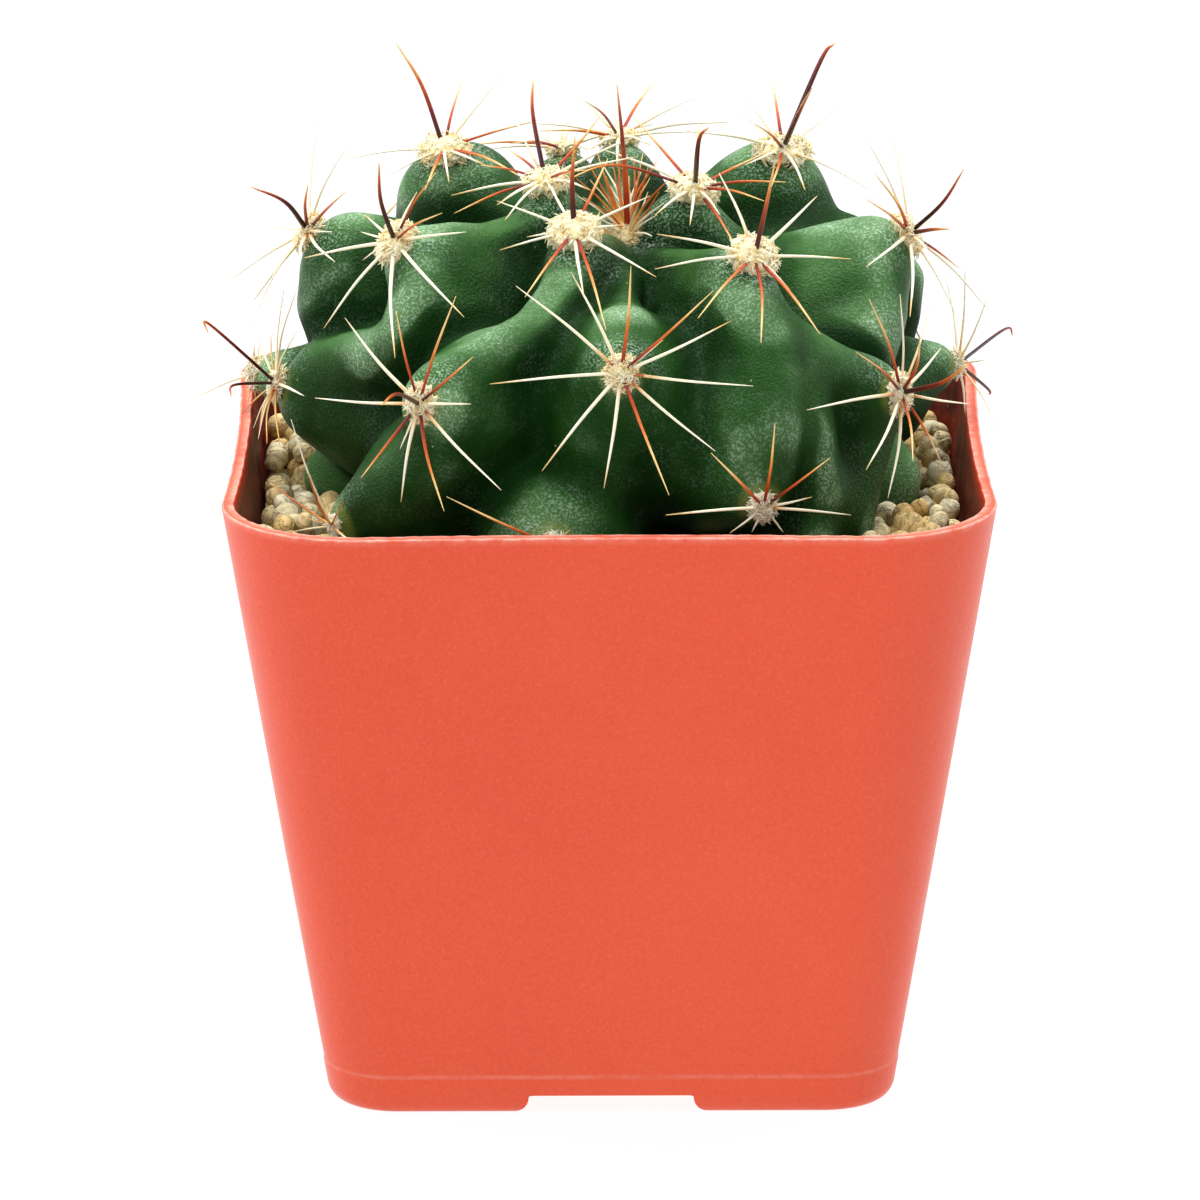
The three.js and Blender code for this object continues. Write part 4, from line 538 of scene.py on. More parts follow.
        ('c', (26.56, 33.58, 14.71)), ('c', (24.95, 36.68, 6.7)), ('c', (17.69, 40.03, 3.65)),
        ('r', (11.19, 42.04, 4.77)), ('c', (7.54, 42.46, 7.71)), ('c', (4.74, 41.92, 12.9)),
        ('c', (5.51, 39.2, 21.37)), ('c', (12.12, 36.06, 20.61)), ('c', (16.56, 34.01, 24.46)),
        ('c', (22.42, 33.2, 19.65)), ('D', (20.48, 39, 15.5)), ('r', (13.98, 48.06, 8.19)),
        ('r', (12.23, 40.48, 18.23)),
    ]),
    ('a25', (-13.2, 37.01, 12.65), (-0.349, 0.898, 0.269), [
        ('c', (-2.7, 43.68, 12.05)), ('c', (-5.87, 44.51, 5.39)), ('r', (-10.45, 43.69, 2.16)),
        ('c', (-18.23, 40.62, 2.02)), ('c', (-23.57, 37.5, 5.66)), ('c', (-25.43, 35.51, 12.85)),
        ('r', (-23.65, 33.28, 20.2)), ('c', (-16.17, 34.78, 23.82)), ('r', (-9.82, 37.64, 20.42)),
        ('c', (-3.8, 40.74, 20.76)), ('D', (-7.3, 52.86, 13.92)), ('r', (-20.08, 46.34, 6.77)),
        ('r', (-20.8, 41.42, 22.23)),
    ]),
    ('a26', (-30.35, 25.28, 14.12), (-0.754, 0.603, 0.261), [
        ('r', (-24.79, 34.96, 15.28)), ('r', (-27.76, 34.18, 8.31)), ('c', (-31.19, 32.14, 4.01)),
        ('c', (-35.74, 24.76, 6.16)), ('r', (-35.39, 22.45, 10.6)), ('r', (-35.63, 20.61, 14.35)),
        ('c', (-34.71, 20.29, 18.25)), ('c', (-30.92, 23.85, 19.5)), ('c', (-28.69, 26.71, 19.43)),
        ('r', (-24.52, 33, 21.01)), ('D', (-30.87, 32.25, 16.85)), ('r', (-36.13, 26.79, 11.56)),
    ]),
    ('a27', (1.01, 37.8, 1.02), (0.02, 0.999, 0.05), [
        ('c', (12.41, 39.52, 2.39)), ('c', (7.02, 39.29, -3.84)), ('c', (2.75, 39.07, -4.5)),
        ('c', (-1.66, 39.36, -5.15)), ('r', (-8.05, 40.25, -5.17)), ('c', (-10.48, 40.08, 0.67)),
        ('r', (-7.21, 39.56, 8.71)), ('r', (-3.24, 39.29, 11.04)), ('r', (3.24, 39.11, 11.61)),
        ('c', (11.05, 39.37, 7.56)), ('D', (5.04, 52.2, 0.75)), ('r', (-2.27, 46.62, 9.99)),
    ]),
    ('a28', (27.78, 29.3, 1.02), (0.681, 0.731, 0.05), [
        ('c', (37.45, 24.38, 1.11)), ('r', (35.52, 24.86, -3.98)), ('c', (30.11, 28.73, -3.77)),
        ('c', (27.7, 31.21, -4.74)), ('c', (23.98, 35.46, -4.88)), ('r', (19.94, 39.82, -0.25)),
        ('c', (21.32, 37.83, 7.15)), ('r', (26.97, 32.28, 13.65)), ('c', (30.93, 28.61, 13.73)),
        ('c', (35.75, 25.52, 7.24)), ('D', (35.27, 29.56, 1.33)), ('r', (32.95, 39.93, -4.38)),
        ('r', (31.6, 37.69, 10.18)),
    ]),
    ('a29', (-24.17, 30.72, 1.01), (-0.599, 0.799, 0.05), [
        ('c', (-15.15, 40.29, 1.94)), ('r', (-19.95, 36.05, -4.09)), ('r', (-23.31, 33.12, -4.85)),
        ('c', (-26.84, 30.44, -4.7)), ('c', (-30.54, 28.19, -4.49)), ('c', (-36.08, 24.68, 1.06)),
        ('c', (-33.74, 25.86, 7.36)), ('r', (-28.19, 29.44, 10.99)), ('c', (-20.95, 35.26, 13.03)),
        ('c', (-17.72, 37.72, 8.56)), ('D', (-29.79, 44.63, 1.18)), ('r', (-32.29, 38.81, -5.12)),
        ('r', (-33.06, 35.03, 9.46)),
    ]),
    ('crown', (2.27, 0.71, 23.46), (0.02, -0.14, 0.99), [
        ('E', (1.06, 1.21, 42.02)), ('y', (-2.35, 2.71, 32.2)), ('y', (-1.29, 4.21, 33.15)),
        ('y', (-0.25, 3.21, 30.5)), ('y', (0.46, 4.71, 32.06)), ('y', (2.45, 4.21, 30.25)),
        ('y', (3.04, 5.21, 32.17)), ('y', (4.1, 5.21, 32.77)), ('y', (5.73, 4.21, 32.05)), ('y', (4.9, 3.21, 30.25)),
        ('y', (5.9, -4.29, 30.41)), ('y', (-2.94, -2.29, 29.35)), ('y', (-0.96, 1.71, 29.19)),
        ('y', (3.85, 3.21, 28.8)), ('y', (1.29, 5.21, 33.14)), ('p', (-2.12, 3.71, 29.91)),
        ('p', (6.47, -6.29, 29.59)), ('p', (5.06, -7.79, 26.03)), ('p', (-1.44, -3.29, 26.35)),
        ('p', (0.45, 3.71, 27.97)), ('p', (3.33, -5.79, 29.12)), ('p', (-0.59, 5.71, 31.22)),
        ('p', (0.22, 4.21, 29.05)), ('p', (1.64, 6.21, 30.73)), ('p', (3.86, 5.71, 30.36)),
        ('p', (4.67, 3.71, 28.44)), ('p', (5.66, -5.79, 28.04)), ('y', (-0.61, -2.79, 28.39)),
        ('y', (4.68, 4.21, 31.21)), ('p', (-2.6, -2.79, 27.43)), ('y', (6.95, -4.79, 31.97)),
        ('y', (-3.75, -0.79, 31.26)), ('p', (-3.53, -0.79, 29.1)),
    ]),
]
PAD_SIZE = {
    'a2': (3, 2.7, 1.5),
    'a13': (3.2, 2.5, 1.4),
    'a14': (3.5, 2.6, 1.5),
    'a3': (2.8, 2.7, 1.4),
    'a16': (2.1, 2, 1),
    'a1': (2.4, 2.6, 1.3),
    'a10': (1.9, 2.5, 1.1),
    'a12': (3.2, 2.5, 1.3),
    'a4': (1.6, 1.9, 0.95),
    'a15': (3.4, 2.5, 1.3),
    'a9': (1.9, 2.3, 1.1),
    'a6': (1.6, 2.2, 1.1),
    'a5': (1.5, 2.1, 1.1),
    'a11': (1.1, 1.4, 0.7),
    'a8': (1.3, 1.9, 0.8),
    'a7': (1.35, 1.5, 0.8),
    'a17': (0.85, 0.9, 0.5),
    'a18': (1.2, 1.2, 0.7),
    'a21': (1.6, 1.4, 0.8),
    'crown': (2.6, 2.2, 1.5),
}

def build_stem():
    # broad, shallow unevenness of a grown surface
    n = field.n
    coarse = 2.0
    cn = np.ceil((field.n * field.vx) / coarse).astype(int) + 2
    und = np.zeros(cn, np.float32)
    for i in range(cn[0]):
        for j in range(cn[1]):
            for k in range(cn[2]):
                p = Vector((i * coarse, j * coarse, k * coarse))
                und[i, j, k] = 0.30 * noise.noise(p / 9.0) + 0.14 * noise.noise(p / 4.2 + Vector((7, 3, 1)))
    def up(axis_idx):
        q = np.arange(n[axis_idx]) * field.vx / coarse
        i = np.floor(q).astype(int)
        return i, (q - i).astype(np.float32)
    (ix, tx), (iy, ty), (iz, tz) = up(0), up(1), up(2)
    u = und[ix] * (1 - tx)[:, None, None] + und[ix + 1] * tx[:, None, None]
    u = u[:, iy] * (1 - ty)[None, :, None] + u[:, iy + 1] * ty[None, :, None]
    u = u[:, :, iz] * (1 - tz)[None, None, :] + u[:, :, iz + 1] * tz[None, None, :]
    G = vdb.FloatGrid(background=FAR)
    G.copyFromArray(np.ascontiguousarray(field.f + u), tolerance=0)
    p, tris, quads = G.convertToPolygons(isovalue=0.0, adaptivity=0.0)
    p = p.astype(float) * field.vx + field.lo
    faces = [quads[:, ::-1]] if len(quads) else []
    if len(tris):
        faces.append(tris[:, ::-1])
    ob = new_object("stem", p + (0, 0, POT_H), faces, [stem_material()])
    # openness: how far the surface stands out of its surroundings, for the painted shade of creases and the painted
    # highlight of crests
    nrm = field.grad(p)
    wide = field.at(p + nrm * 4.0) / 4.0
    tight = field.at(p + nrm * 1.6) / 1.6
    add_attr(ob, "open_wide", wide)
    add_attr(ob, "open_tight", tight)
    # how convex it is: the mean distance of points set off along the surface
    u = np.cross(nrm, (0.31, 0.17, 0.94))
    u /= np.linalg.norm(u, axis=1, keepdims=True) + 1e-9
    v = np.cross(nrm, u)
    bend = np.zeros(len(p))
    for a in np.arange(8) * math.pi / 4:
        bend += field.at(p + (u * math.cos(a) + v * math.sin(a)) * 2.2) / (8 * 2.2)
    add_attr(ob, "ridge", bend)
    # nearness to an areole
    near = np.full(len(p), 50.0)
    for a in AREOLES:
        near = np.minimum(near, np.linalg.norm(p - np.array(a[1]), axis=1))
    add_attr(ob, "near_areole", near)
    add_attr(ob, "height", p[:, 2])
    # which way the skin faces and how sheltered it is, for painted light and shade
    add_attr(ob, "up", nrm[:, 2])
    add_attr(ob, "shelter", 1.0 - field.at(p + nrm * 5.9) / 5.9)
    add_attr(ob, "crown", np.linalg.norm(p - (0, 20.0, 27.0), axis=1))
    # the two small low lobes that lie on the granules at the sides, for painted light on them
    add_attr(ob, "low_lobe", np.minimum(np.linalg.norm(p - (-36.0, 3.0, -6.5), axis=1), np.linalg.norm(p - (36.3, -6.0, -4.8), axis=1)))
    return ob

def stem_material():
    m = Nodes("stem_skin")
    ow, ridge, near, h = m.attr("open_wide"), m.attr("ridge"), m.attr("near_areole"), m.attr("height")
    up, shelter, crown = m.attr("up"), m.attr("shelter"), m.attr("crown")
    # painted light and shade in the tone: darker in creases, where sheltered and where facing sideways or down, lighter
    # facing up; the big noise is random variation
    tone = m.map(ow, 0.45, 1.0)
    big = m.noise(60.0, 4.0, 0.55)
    tone = m.math('ADD', tone, m.map(big, 0.3, 0.7, -0.20, 0.20))
    tone = m.math('ADD', tone, m.map(up, -0.4, 0.7, -0.24, 0.10))
    tone = m.math('SUBTRACT', tone, m.map(shelter, 0.04, 0.45, 0.0, 0.34), clamp=True)
    bend = m.math('ADD', ridge, m.map(m.noise(220.0, 4.0, 0.6), 0.3, 0.7, -0.035, 0.035))
    col = m.ramp(tone, [(0.0, srgb(6, 46, 2)), (0.40, srgb(19, 57, 11)), (0.80, srgb(34, 77, 25)), (1.0, srgb(64, 110, 52))])
    # painted shade: concave creases darker
    col = m.mix(m.map(bend, -0.02, -0.16, 0.0, 0.75), col, srgb(4, 42, 2))
    # painted highlight on what stands out: the crests, and the up-facing tops of the domes
    convex = m.map(ow, 0.90, 0.995, smooth=True)
    patch = m.noise(130.0, 5.0, 0.6)
    crest = m.math('MULTIPLY', m.map(bend, 0.04, 0.22, smooth=True), m.map(patch, 0.34, 0.60, 0.50, 1.0))
    crest = m.math('MULTIPLY', crest, m.map(up, -0.45, 0.40, 0.30, 1.0))
    top = m.math('MULTIPLY', m.math('MULTIPLY', m.map(h, 2.0, 24.0), m.map(up, 0.50, 0.95)), m.map(patch, 0.36, 0.62, 0.15, 1.0))
    painted_highlight = m.math('MULTIPLY', m.math('MAXIMUM', crest, m.math('MULTIPLY', top, 0.9)), convex, clamp=True)
    col = m.mix(m.math('MULTIPLY', painted_highlight, 0.70), col, srgb(134, 176, 122))
    # young growth round the crown is paler
    col = m.mix(m.math('MULTIPLY', m.map(crown, 17.0, 8.0, 0.0, 0.50, smooth=True), convex), col, srgb(118, 158, 128))
    # painted light on the two low lobes, lighter where they face up
    pale = m.math('MULTIPLY', m.map(m.attr("low_lobe"), 9.5, 5.5, 0.0, 0.62, smooth=True), m.map(up, -0.5, 0.3, 0.4, 1.0))
    col = m.mix(pale, col, srgb(92, 138, 78))
    # yellow-green halo by the wool
    halo = m.map(near, 2.0, 3.3, 1.0, 0.0, smooth=True)
    col = m.mix(m.math('MULTIPLY', halo, 0.42), col, srgb(140, 152, 76))
    # painted glints: pale dots of the waxy cells on the painted highlight, by the wool where facing up, and in
    # scattered patches
    cells = m.noise(3300.0, 2.0, 0.6)
    dots = m.map(cells, 0.50, 0.60)
    some = m.map(m.noise(240.0, 4.0, 0.65), 0.44, 0.66)
    by_wool = m.math('MULTIPLY', m.map(near, 8.5, 3.0, 0.0, 0.55, smooth=True), m.map(up, 0.1, 0.8))
    shiny = m.math('ADD', m.math('MAXIMUM', m.math('MULTIPLY', painted_highlight, 0.95), by_wool), m.math('MULTIPLY', some, 0.08))
    painted_glint = m.math('MULTIPLY', dots, shiny, clamp=True)
    col = m.mix(painted_glint, col, srgb(186, 212, 190))
    flecks = m.map(m.voronoi(230.0, rand=1.0), 0.0, 0.042, 1.0, 0.0)
    col = m.mix(m.math('MULTIPLY', flecks, 0.85), col, srgb(206, 214, 156))
    # small tan scars
    scar = m.math('MULTIPLY', m.map(m.noise(60.0, 6.0, 0.7), 0.70, 0.74), m.map(m.noise(420.0, 2.0), 0.45, 0.6))
    col = m.mix(scar, col, srgb(150, 122, 76))
    fine = m.noise(4200.0, 2.0)
    hgt = m.math('ADD', m.math('MULTIPLY', cells, 3.0), m.math('MULTIPLY', fine, 0.5))
    nrm = m.bump(m.noise(300.0, 3.0, 0.6), 0.07, 0.0004)
    nrm = m.bump(hgt, 0.70, 0.00016, nrm)
    shine = m.map(m.noise(240.0, 3.0), 0.3, 0.7, 0.24, 0.38)
    rough = m.math('ADD', shine, m.map(tone, 0.0, 0.55, 0.34, 0.0))
    m.set(Base_Color=col, Roughness=rough, Normal=nrm)
    m.set(Specular_IOR_Level=0.10)
    m.set(Subsurface_Weight=0.03, Subsurface_Radius=(0.2, 1.0, 0.15), Subsurface_Scale=0.0010)
    return m.mat

stem = build_stem()
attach(stem, "root")
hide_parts("cactus_body")

# ------------------------------------------------------------------ spines and wool
def frame_of(n):
    u = np.cross((0, 0, 1.0), n)
    if np.linalg.norm(u) < 0.2:
        u = np.cross((0, 1.0, 0), n)
    u = unit(u)
    return u, np.cross(n, u)

def path_points(ctrl, steps):
    """A smooth curve through the control points."""
    c = [np.array(q, float) for q in ctrl]
    if len(c) == 2:
        return np.array([c[0] + (c[1] - c[0]) * t for t in np.linspace(0, 1, steps)])
    c = [2 * c[0] - c[1]] + c + [2 * c[-1] - c[-2]]
    seg = len(c) - 3
    out = []
    for s in np.linspace(0, seg, steps):
        i = min(int(s), seg - 1)
        t = s - i
        p0, p1, p2, p3 = c[i:i + 4]
        out.append(0.5 * ((2 * p1) + (-p0 + p2) * t + (2 * p0 - 5 * p1 + 4 * p2 - p3) * t * t + (-p0 + 3 * p1 - 3 * p2 + p3) * t ** 3))
    return np.array(out)

class Soup:
    """Collects tubes and lumps into one mesh."""
    def __init__(self):
        self.v, self.q, self.t, self.qm, self.tm, self.attr, self.n = [], [], [], [], [], [], 0
    def tube(self, pts, radii, sides, along, mat, flat=1.0, tone=0.5):
        pts = np.asarray(pts)
        k = len(pts)
        tan = np.gradient(pts, axis=0)
        tan /= np.linalg.norm(tan, axis=1, keepdims=True) + 1e-12
        u, _ = frame_of(tan[0])
        rings = []
        for i in range(k):
            u = u - (u @ tan[i]) * tan[i]
            u = unit(u)
            w = np.cross(tan[i], u)
            a = np.linspace(0, 2 * math.pi, sides, endpoint=False)
            rings.append(pts[i] + radii[i] * (np.cos(a)[:, None] * u + flat * np.sin(a)[:, None] * w))
        base = self.n
        self.v.append(np.vstack(rings + [pts[-1] + tan[-1] * radii[-1], pts[0] - tan[0] * radii[0] * 0.3]))
        idx = np.arange(k * sides).reshape(k, sides) + base
        nxt = np.roll(idx, -1, axis=1)
        self.q.append(np.stack([idx[:-1], nxt[:-1], nxt[1:], idx[1:]], -1).reshape(-1, 4))
        self.qm.append(np.full((k - 1) * sides, mat))
        tip, bot = base + k * sides, base + k * sides + 1
        self.t.append(np.stack([idx[-1], nxt[-1], np.full(sides, tip)], -1))
        self.t.append(np.stack([nxt[0], idx[0], np.full(sides, bot)], -1))
        self.tm.append(np.full(2 * sides, mat))
        al = np.concatenate([np.repeat(along, sides), [along[-1], along[0]]])
        self.attr.append(np.stack([al, np.full(len(al), tone)], -1))
        self.n += k * sides + 2
    def mesh(self, v, tris, mat, along=0.0, tone=0.5):
        self.v.append(v)
        self.t.append(tris + self.n)
        self.tm.append(np.full(len(tris), mat))
        self.attr.append(np.tile((along, tone), (len(v), 1)))
        self.n += len(v)
    def build(self, name, mats):
        faces, fm = [], []
        if self.q:
            faces.append(np.vstack(self.q))
            fm.append(np.concatenate(self.qm))
        if self.t:
            faces.append(np.vstack(self.t))
            fm.append(np.concatenate(self.tm))
        ob = new_object(name, np.vstack(self.v), faces, mats, face_mat=np.concatenate(fm))
        at = np.vstack(self.attr)
        add_attr(ob, "along", at[:, 0])
        add_attr(ob, "tone", at[:, 1])
        return ob

def ico(level):
    import bmesh
    bm = bmesh.new()
    bmesh.ops.create_icosphere(bm, subdivisions=level, radius=1.0)
    v = np.array([q.co for q in bm.verts])
    f = np.array([[q.index for q in t.verts] for t in bm.faces])
    bm.free()
    return v, f
ICO = {k: ico(k) for k in (1, 2, 3, 4, 5)}

def spine_material(name, stops, rough=0.36, spec=0.34):
    m = Nodes(name)
    al, tone = m.attr("along"), m.attr("tone")
    streak = m.noise(900.0, 3.0, 0.6)
    fac = m.math('ADD', al, m.math('MULTIPLY', m.math('SUBTRACT', tone, 0.5), 0.30))
    fac = m.math('ADD', fac, m.map(streak, 0.3, 0.7, -0.05, 0.05), clamp=True)
    col = m.ramp(fac, stops)
    m.set(Base_Color=col, Roughness=rough, Normal=m.bump(m.noise(2600.0, 2.0), 0.25, 0.0001))
    m.set(Specular_IOR_Level=spec)
    m.set(Subsurface_Weight=0.12, Subsurface_Radius=(1.0, 0.55, 0.25), Subsurface_Scale=0.0006)
    return m.mat
cream = spine_material("spine_pale", [(0.0, srgb(178, 100, 48)), (0.07, srgb(230, 190, 132)), (0.22, srgb(251, 238, 204)), (0.8, srgb(254, 246, 220)), (1.0, srgb(226, 186, 122))])
red = spine_material("spine_red", [(0.0, srgb(74, 14, 6)), (0.14, srgb(126, 32, 8)), (0.36, srgb(190, 70, 20)), (0.56, srgb(222, 126, 52)), (0.76, srgb(244, 200, 130)), (1.0, srgb(240, 200, 134))])
dark = spine_material("spine_dark", [(0.0, srgb(36, 6, 6)), (0.28, srgb(74, 13, 9)), (0.48, srgb(128, 34, 13)), (0.66, srgb(190, 84, 30)), (0.84, srgb(220, 150, 70)), (1.0, srgb(234, 192, 116))], rough=0.3)
thin = spine_material("spine_thin", [(0.0, srgb(206, 140, 84)), (0.15, srgb(238, 208, 156)), (0.5, srgb(250, 238, 208)), (1.0, srgb(250, 238, 214))])

def wool_material(name, warm):
    m = Nodes(name)
    lump = m.noise(900.0, 4.0, 0.6)
    young_col = m.ramp(lump, [(0.25, srgb(206, 152, 80)), (0.40, srgb(246, 222, 158)), (0.54, srgb(255, 246, 206)), (1.0, srgb(255, 252, 234))])
    old_col = m.ramp(lump, [(0.25, srgb(176, 138, 84)), (0.40, srgb(230, 216, 176)), (0.54, srgb(250, 244, 222)), (1.0, srgb(255, 252, 240))])
    col = m.mix(m.attr("along"), young_col, old_col)
    speck = m.math('MULTIPLY', m.map(m.noise(1500.0, 3.0, 0.6), 0.59, 0.70), 0.42)
    col = m.mix(speck, col, srgb(176, 124, 62))
    if warm:
        col = m.mix(m.map(lump, 0.3, 0.7, warm + 0.15, warm - 0.15), col, srgb(226, 188, 112))
    fib = m.noise(3800.0, 3.0, 0.7)
    m.set(Base_Color=col, Roughness=0.85, Normal=m.bump(fib, 0.6, 0.0002, m.bump(lump, 0.5, 0.0003)))
    m.set(Specular_IOR_Level=0.2, Sheen_Weight=0.35, Sheen_Roughness=0.5)
    m.set(Subsurface_Weight=0.25, Subsurface_Radius=(1.0, 0.8, 0.5), Subsurface_Scale=0.0012)
    return m.mat
wool = wool_material("wool", 0.0)
gold_wool = wool_material("wool_golden", 0.45)
young = spine_material("spine_young", [(0.0, srgb(232, 190, 110)), (0.25, srgb(218, 138, 60)), (0.6, srgb(188, 84, 26)), (0.86, srgb(220, 132, 56)), (1.0, srgb(242, 202, 130))])
stout = spine_material("spine_stout", [(0.0, srgb(104, 24, 8)), (0.30, srgb(168, 52, 12)), (0.48, srgb(206, 84, 20)), (0.70, srgb(130, 34, 14)), (0.88, srgb(168, 84, 38)), (1.0, srgb(226, 168, 104))])
golden = spine_material("spine_golden", [(0.0, srgb(170, 96, 40)), (0.25, srgb(206, 150, 76)), (0.6, srgb(222, 178, 104)), (0.9, srgb(196, 132, 62)), (1.0, srgb(172, 98, 44))])
MATS = [wool, cream, red, dark, thin, young, stout, golden, gold_wool]
KIND = {'c': 1, 'r': 2, 'D': 3, 'f': 4, 'E': 6, 'y': 5, 'p': 1, 'g': 7, 'd': 3}
R0 = {'c': 0.235, 'r': 0.205, 'D': 0.33, 'f': 0.15, 'E': 0.34, 'y': 0.18, 'p': 0.20, 'g': 0.14, 'd': 0.24}
TIP_R = {'c': 0.04, 'r': 0.04, 'D': 0.05, 'f': 0.035, 'E': 0.05, 'y': 0.04, 'p': 0.04, 'g': 0.03, 'd': 0.04}

def wool_pad(soup, P, N, size, seed, mat):
    lr = np.random.RandomState(seed)
    u, v = frame_of(N)
    sx, sy, sz = size
    base, tris = ICO[4]
    off = Vector(lr.uniform(-50, 50, 3))
    out = np.zeros_like(base)
    for i, q in enumerate(base):
        p = Vector(q)
        d = 0.98 + 0.24 * noise.noise(p * 2.3 + off) + 0.22 * noise.noise(p * 5.0 + off) + 0.12 * noise.noise(p * 11.0 + off)
        out[i] = q * d
    w = P + N * 0.25 + out[:, :1] * sx * u + out[:, 1:2] * sy * v + out[:, 2:3] * sz * N
    age = float(np.clip((14.0 - (P[2] - POT_H)) / 14.0, 0, 1))
    soup.mesh(w, tris, mat, age, lr.rand())
    # tufts: short felted locks lying on the pad
    for _ in range(240):
        th, ph = lr.uniform(0, 2 * math.pi), math.acos(lr.uniform(-0.25, 1.0))
        d = np.array((math.cos(th) * math.sin(ph), math.sin(th) * math.sin(ph), math.cos(ph)))
        s = P + N * 0.2 + d[0] * sx * u + d[1] * sy * v + d[2] * sz * N
        o = unit(d[0] * u / sx + d[1] * v / sy + d[2] * N / sz)
        side = unit(np.cross(o, lr.normal(size=3)))
        L = lr.uniform(0.5, 1.5) * min(1.0, 0.35 + sx / 3.0)
        c1 = s + o * 0.16 + side * L * 0.45
        c2 = s + o * lr.uniform(0.0, 0.50) + side * L + np.cross(o, side) * lr.uniform(-0.3, 0.3)
        pts = path_points([s - o * 0.12, c1, c2], 6)
        r = lr.uniform(0.07, 0.16)
        soup.tube(pts, r * np.array([0.9, 1.0, 1.0, 0.85, 0.6, 0.25]), 5, np.full(6, age), mat, tone=lr.rand())

def spine(soup, P, N, kind, pts, lr, steps=None):
    steps = steps or (15)
    tips = [np.array(q, float) for q in pts]
    first = P + N * 0.55
    d = tips[-1] - first
    L = np.linalg.norm(d)
    ctrl = [first + unit(tips[0] - first) * 0.2] + tips
    if len(tips) == 1:
        # a slight even bow, towards the stem
        side = np.cross(d, N)
        side = unit(side) if np.linalg.norm(side) > 1e-6 else frame_of(N)[0]
        bow = unit(N - (N @ unit(d)) * unit(d) + 1e-9)
        wild = 4.0 if kind in 'yp' else 1.0
        mid = first + d * 0.5 + bow * L * lr.uniform(0.015, 0.05) + side * L * lr.uniform(-0.02, 0.02) * wild
        ctrl = [ctrl[0], mid, tips[0]]
    path = path_points(ctrl, steps)
    t = np.linspace(0, 1, steps)
    r0 = R0[kind] * lr.uniform(0.88, 1.1) * min(1.0, 0.6 + L / 28)
    prof = r0 * np.power(np.clip(1 - t ** 1.7, 0, 1), 0.85) + TIP_R[kind] * t
    prof[0] *= 1.12
    soup.tube(path, prof, 8, t, KIND[kind], flat=0.88, tone=lr.rand())

for i, (name, p, n, spines) in enumerate(AREOLES):
    lr = np.random.RandomState(500 + i)
    N = unit(n)
    P = np.array(p, float)
    P = P - N * field.at(P)[0]
    S = Soup()
    Pz = P + (0, 0, POT_H)
    wool_pad(S, Pz, N, PAD_SIZE.get(name, (2.0, 1.9, 1.15)), 900 + i, 8 if name == 'crown' else 0)
    for k, *pts in spines:
        spine(S, Pz, N, k, [np.array(q) + (0, 0, POT_H) for q in pts], lr)
    ob = S.build("areole_cluster_%02d" % (i + 1), MATS)
    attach(ob, "root")
    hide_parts("areole_%02d" % (i + 1))

# ------------------------------------------------------------------ pot
TOP_HALF, BASE_HALF = 44.5, 32.95
CORNER_TOP, CORNER_BASE = 15.8, 8.1
WALL = 1.3
LIP = 0.22        # the rim is a little fuller than the wall below it
def section(z, inset, per_corner=30, per_side=64):
    t = z / POT_H
    half = BASE_HALF + (TOP_HALF - BASE_HALF) * t - inset
    rad = CORNER_BASE + (CORNER_TOP - CORNER_BASE) * t - inset
    bow = 0.68 * max(0.0, t)
    flat = half - rad
    pts = []
    for c in range(4):
        a0 = c * math.pi / 2
        loc = [(flat + rad * math.cos(a), flat + rad * math.sin(a)) for a in np.linspace(0, math.pi / 2, per_corner + 1)]
        for k in range(1, per_side):
            x = flat - 2 * flat * k / per_side
            loc.append((x, half - bow * (1 - (x / flat) ** 2)))
        for x, y in loc:
            pts.append((x * math.cos(a0) - y * math.sin(a0), x * math.sin(a0) + y * math.cos(a0), z))
    return np.array(pts)

def loft(name, rings, mats):
    n = len(rings[0])
    v = np.vstack(rings + [rings[0].mean(0), rings[-1].mean(0)])
    idx = np.arange(len(rings) * n).reshape(len(rings), n)
    nxt = np.roll(idx, -1, axis=1)
    quads = np.stack([idx[:-1], nxt[:-1], nxt[1:], idx[1:]], -1).reshape(-1, 4)
    lo, hi = len(rings) * n, len(rings) * n + 1
    tris = np.vstack([np.stack([nxt[0], idx[0], np.full(n, lo)], -1), np.stack([idx[-1], nxt[-1], np.full(n, hi)], -1)])
    return new_object(name, v, [quads, tris], mats)

def prism(name, outline, axis, a, b):
    """A straight prism of a closed outline (x, z) or (x, y) along an axis."""
    n = len(outline)
    o = np.array(outline, float)
    def at(w):
        if axis == 'y':
            return np.stack([o[:, 0], np.full(n, w), o[:, 1]], -1)
        if axis == 'x':
            return np.stack([np.full(n, w), -o[:, 0], o[:, 1]], -1)
        return np.stack([o[:, 0], o[:, 1], np.full(n, w)], -1)
    v = np.vstack([at(a), at(b)])
    i = np.arange(n)
    j = (i + 1) % n
    quads = np.stack([i, j, j + n, i + n], -1)
    me = new_object(name, v, [quads, ], [])
    import bmesh
    bm = bmesh.new()
    bm.from_mesh(me.data)
    bm.verts.ensure_lookup_table()
    bm.faces.new([bm.verts[k] for k in reversed(range(n))])
    bm.faces.new([bm.verts[k + n] for k in range(n)])
    bmesh.ops.recalc_face_normals(bm, faces=bm.faces)
    bm.to_mesh(me.data)
    bm.free()
    return me

def boolean(ob, cutter, op='DIFFERENCE', solver='MANIFOLD'):
    mod = ob.modifiers.new("cut", 'BOOLEAN')
    mod.operation = op
    mod.object = cutter
    mod.solver = solver
    bpy.context.view_layer.update()
    dg = bpy.context.evaluated_depsgraph_get()
    me = bpy.data.meshes.new_from_object(ob.evaluated_get(dg))
    ob.modifiers.clear()
    old = ob.data
    ob.data = me
    bpy.data.meshes.remove(old)
    m = cutter.data
    bpy.data.objects.remove(cutter)
    bpy.data.meshes.remove(m)

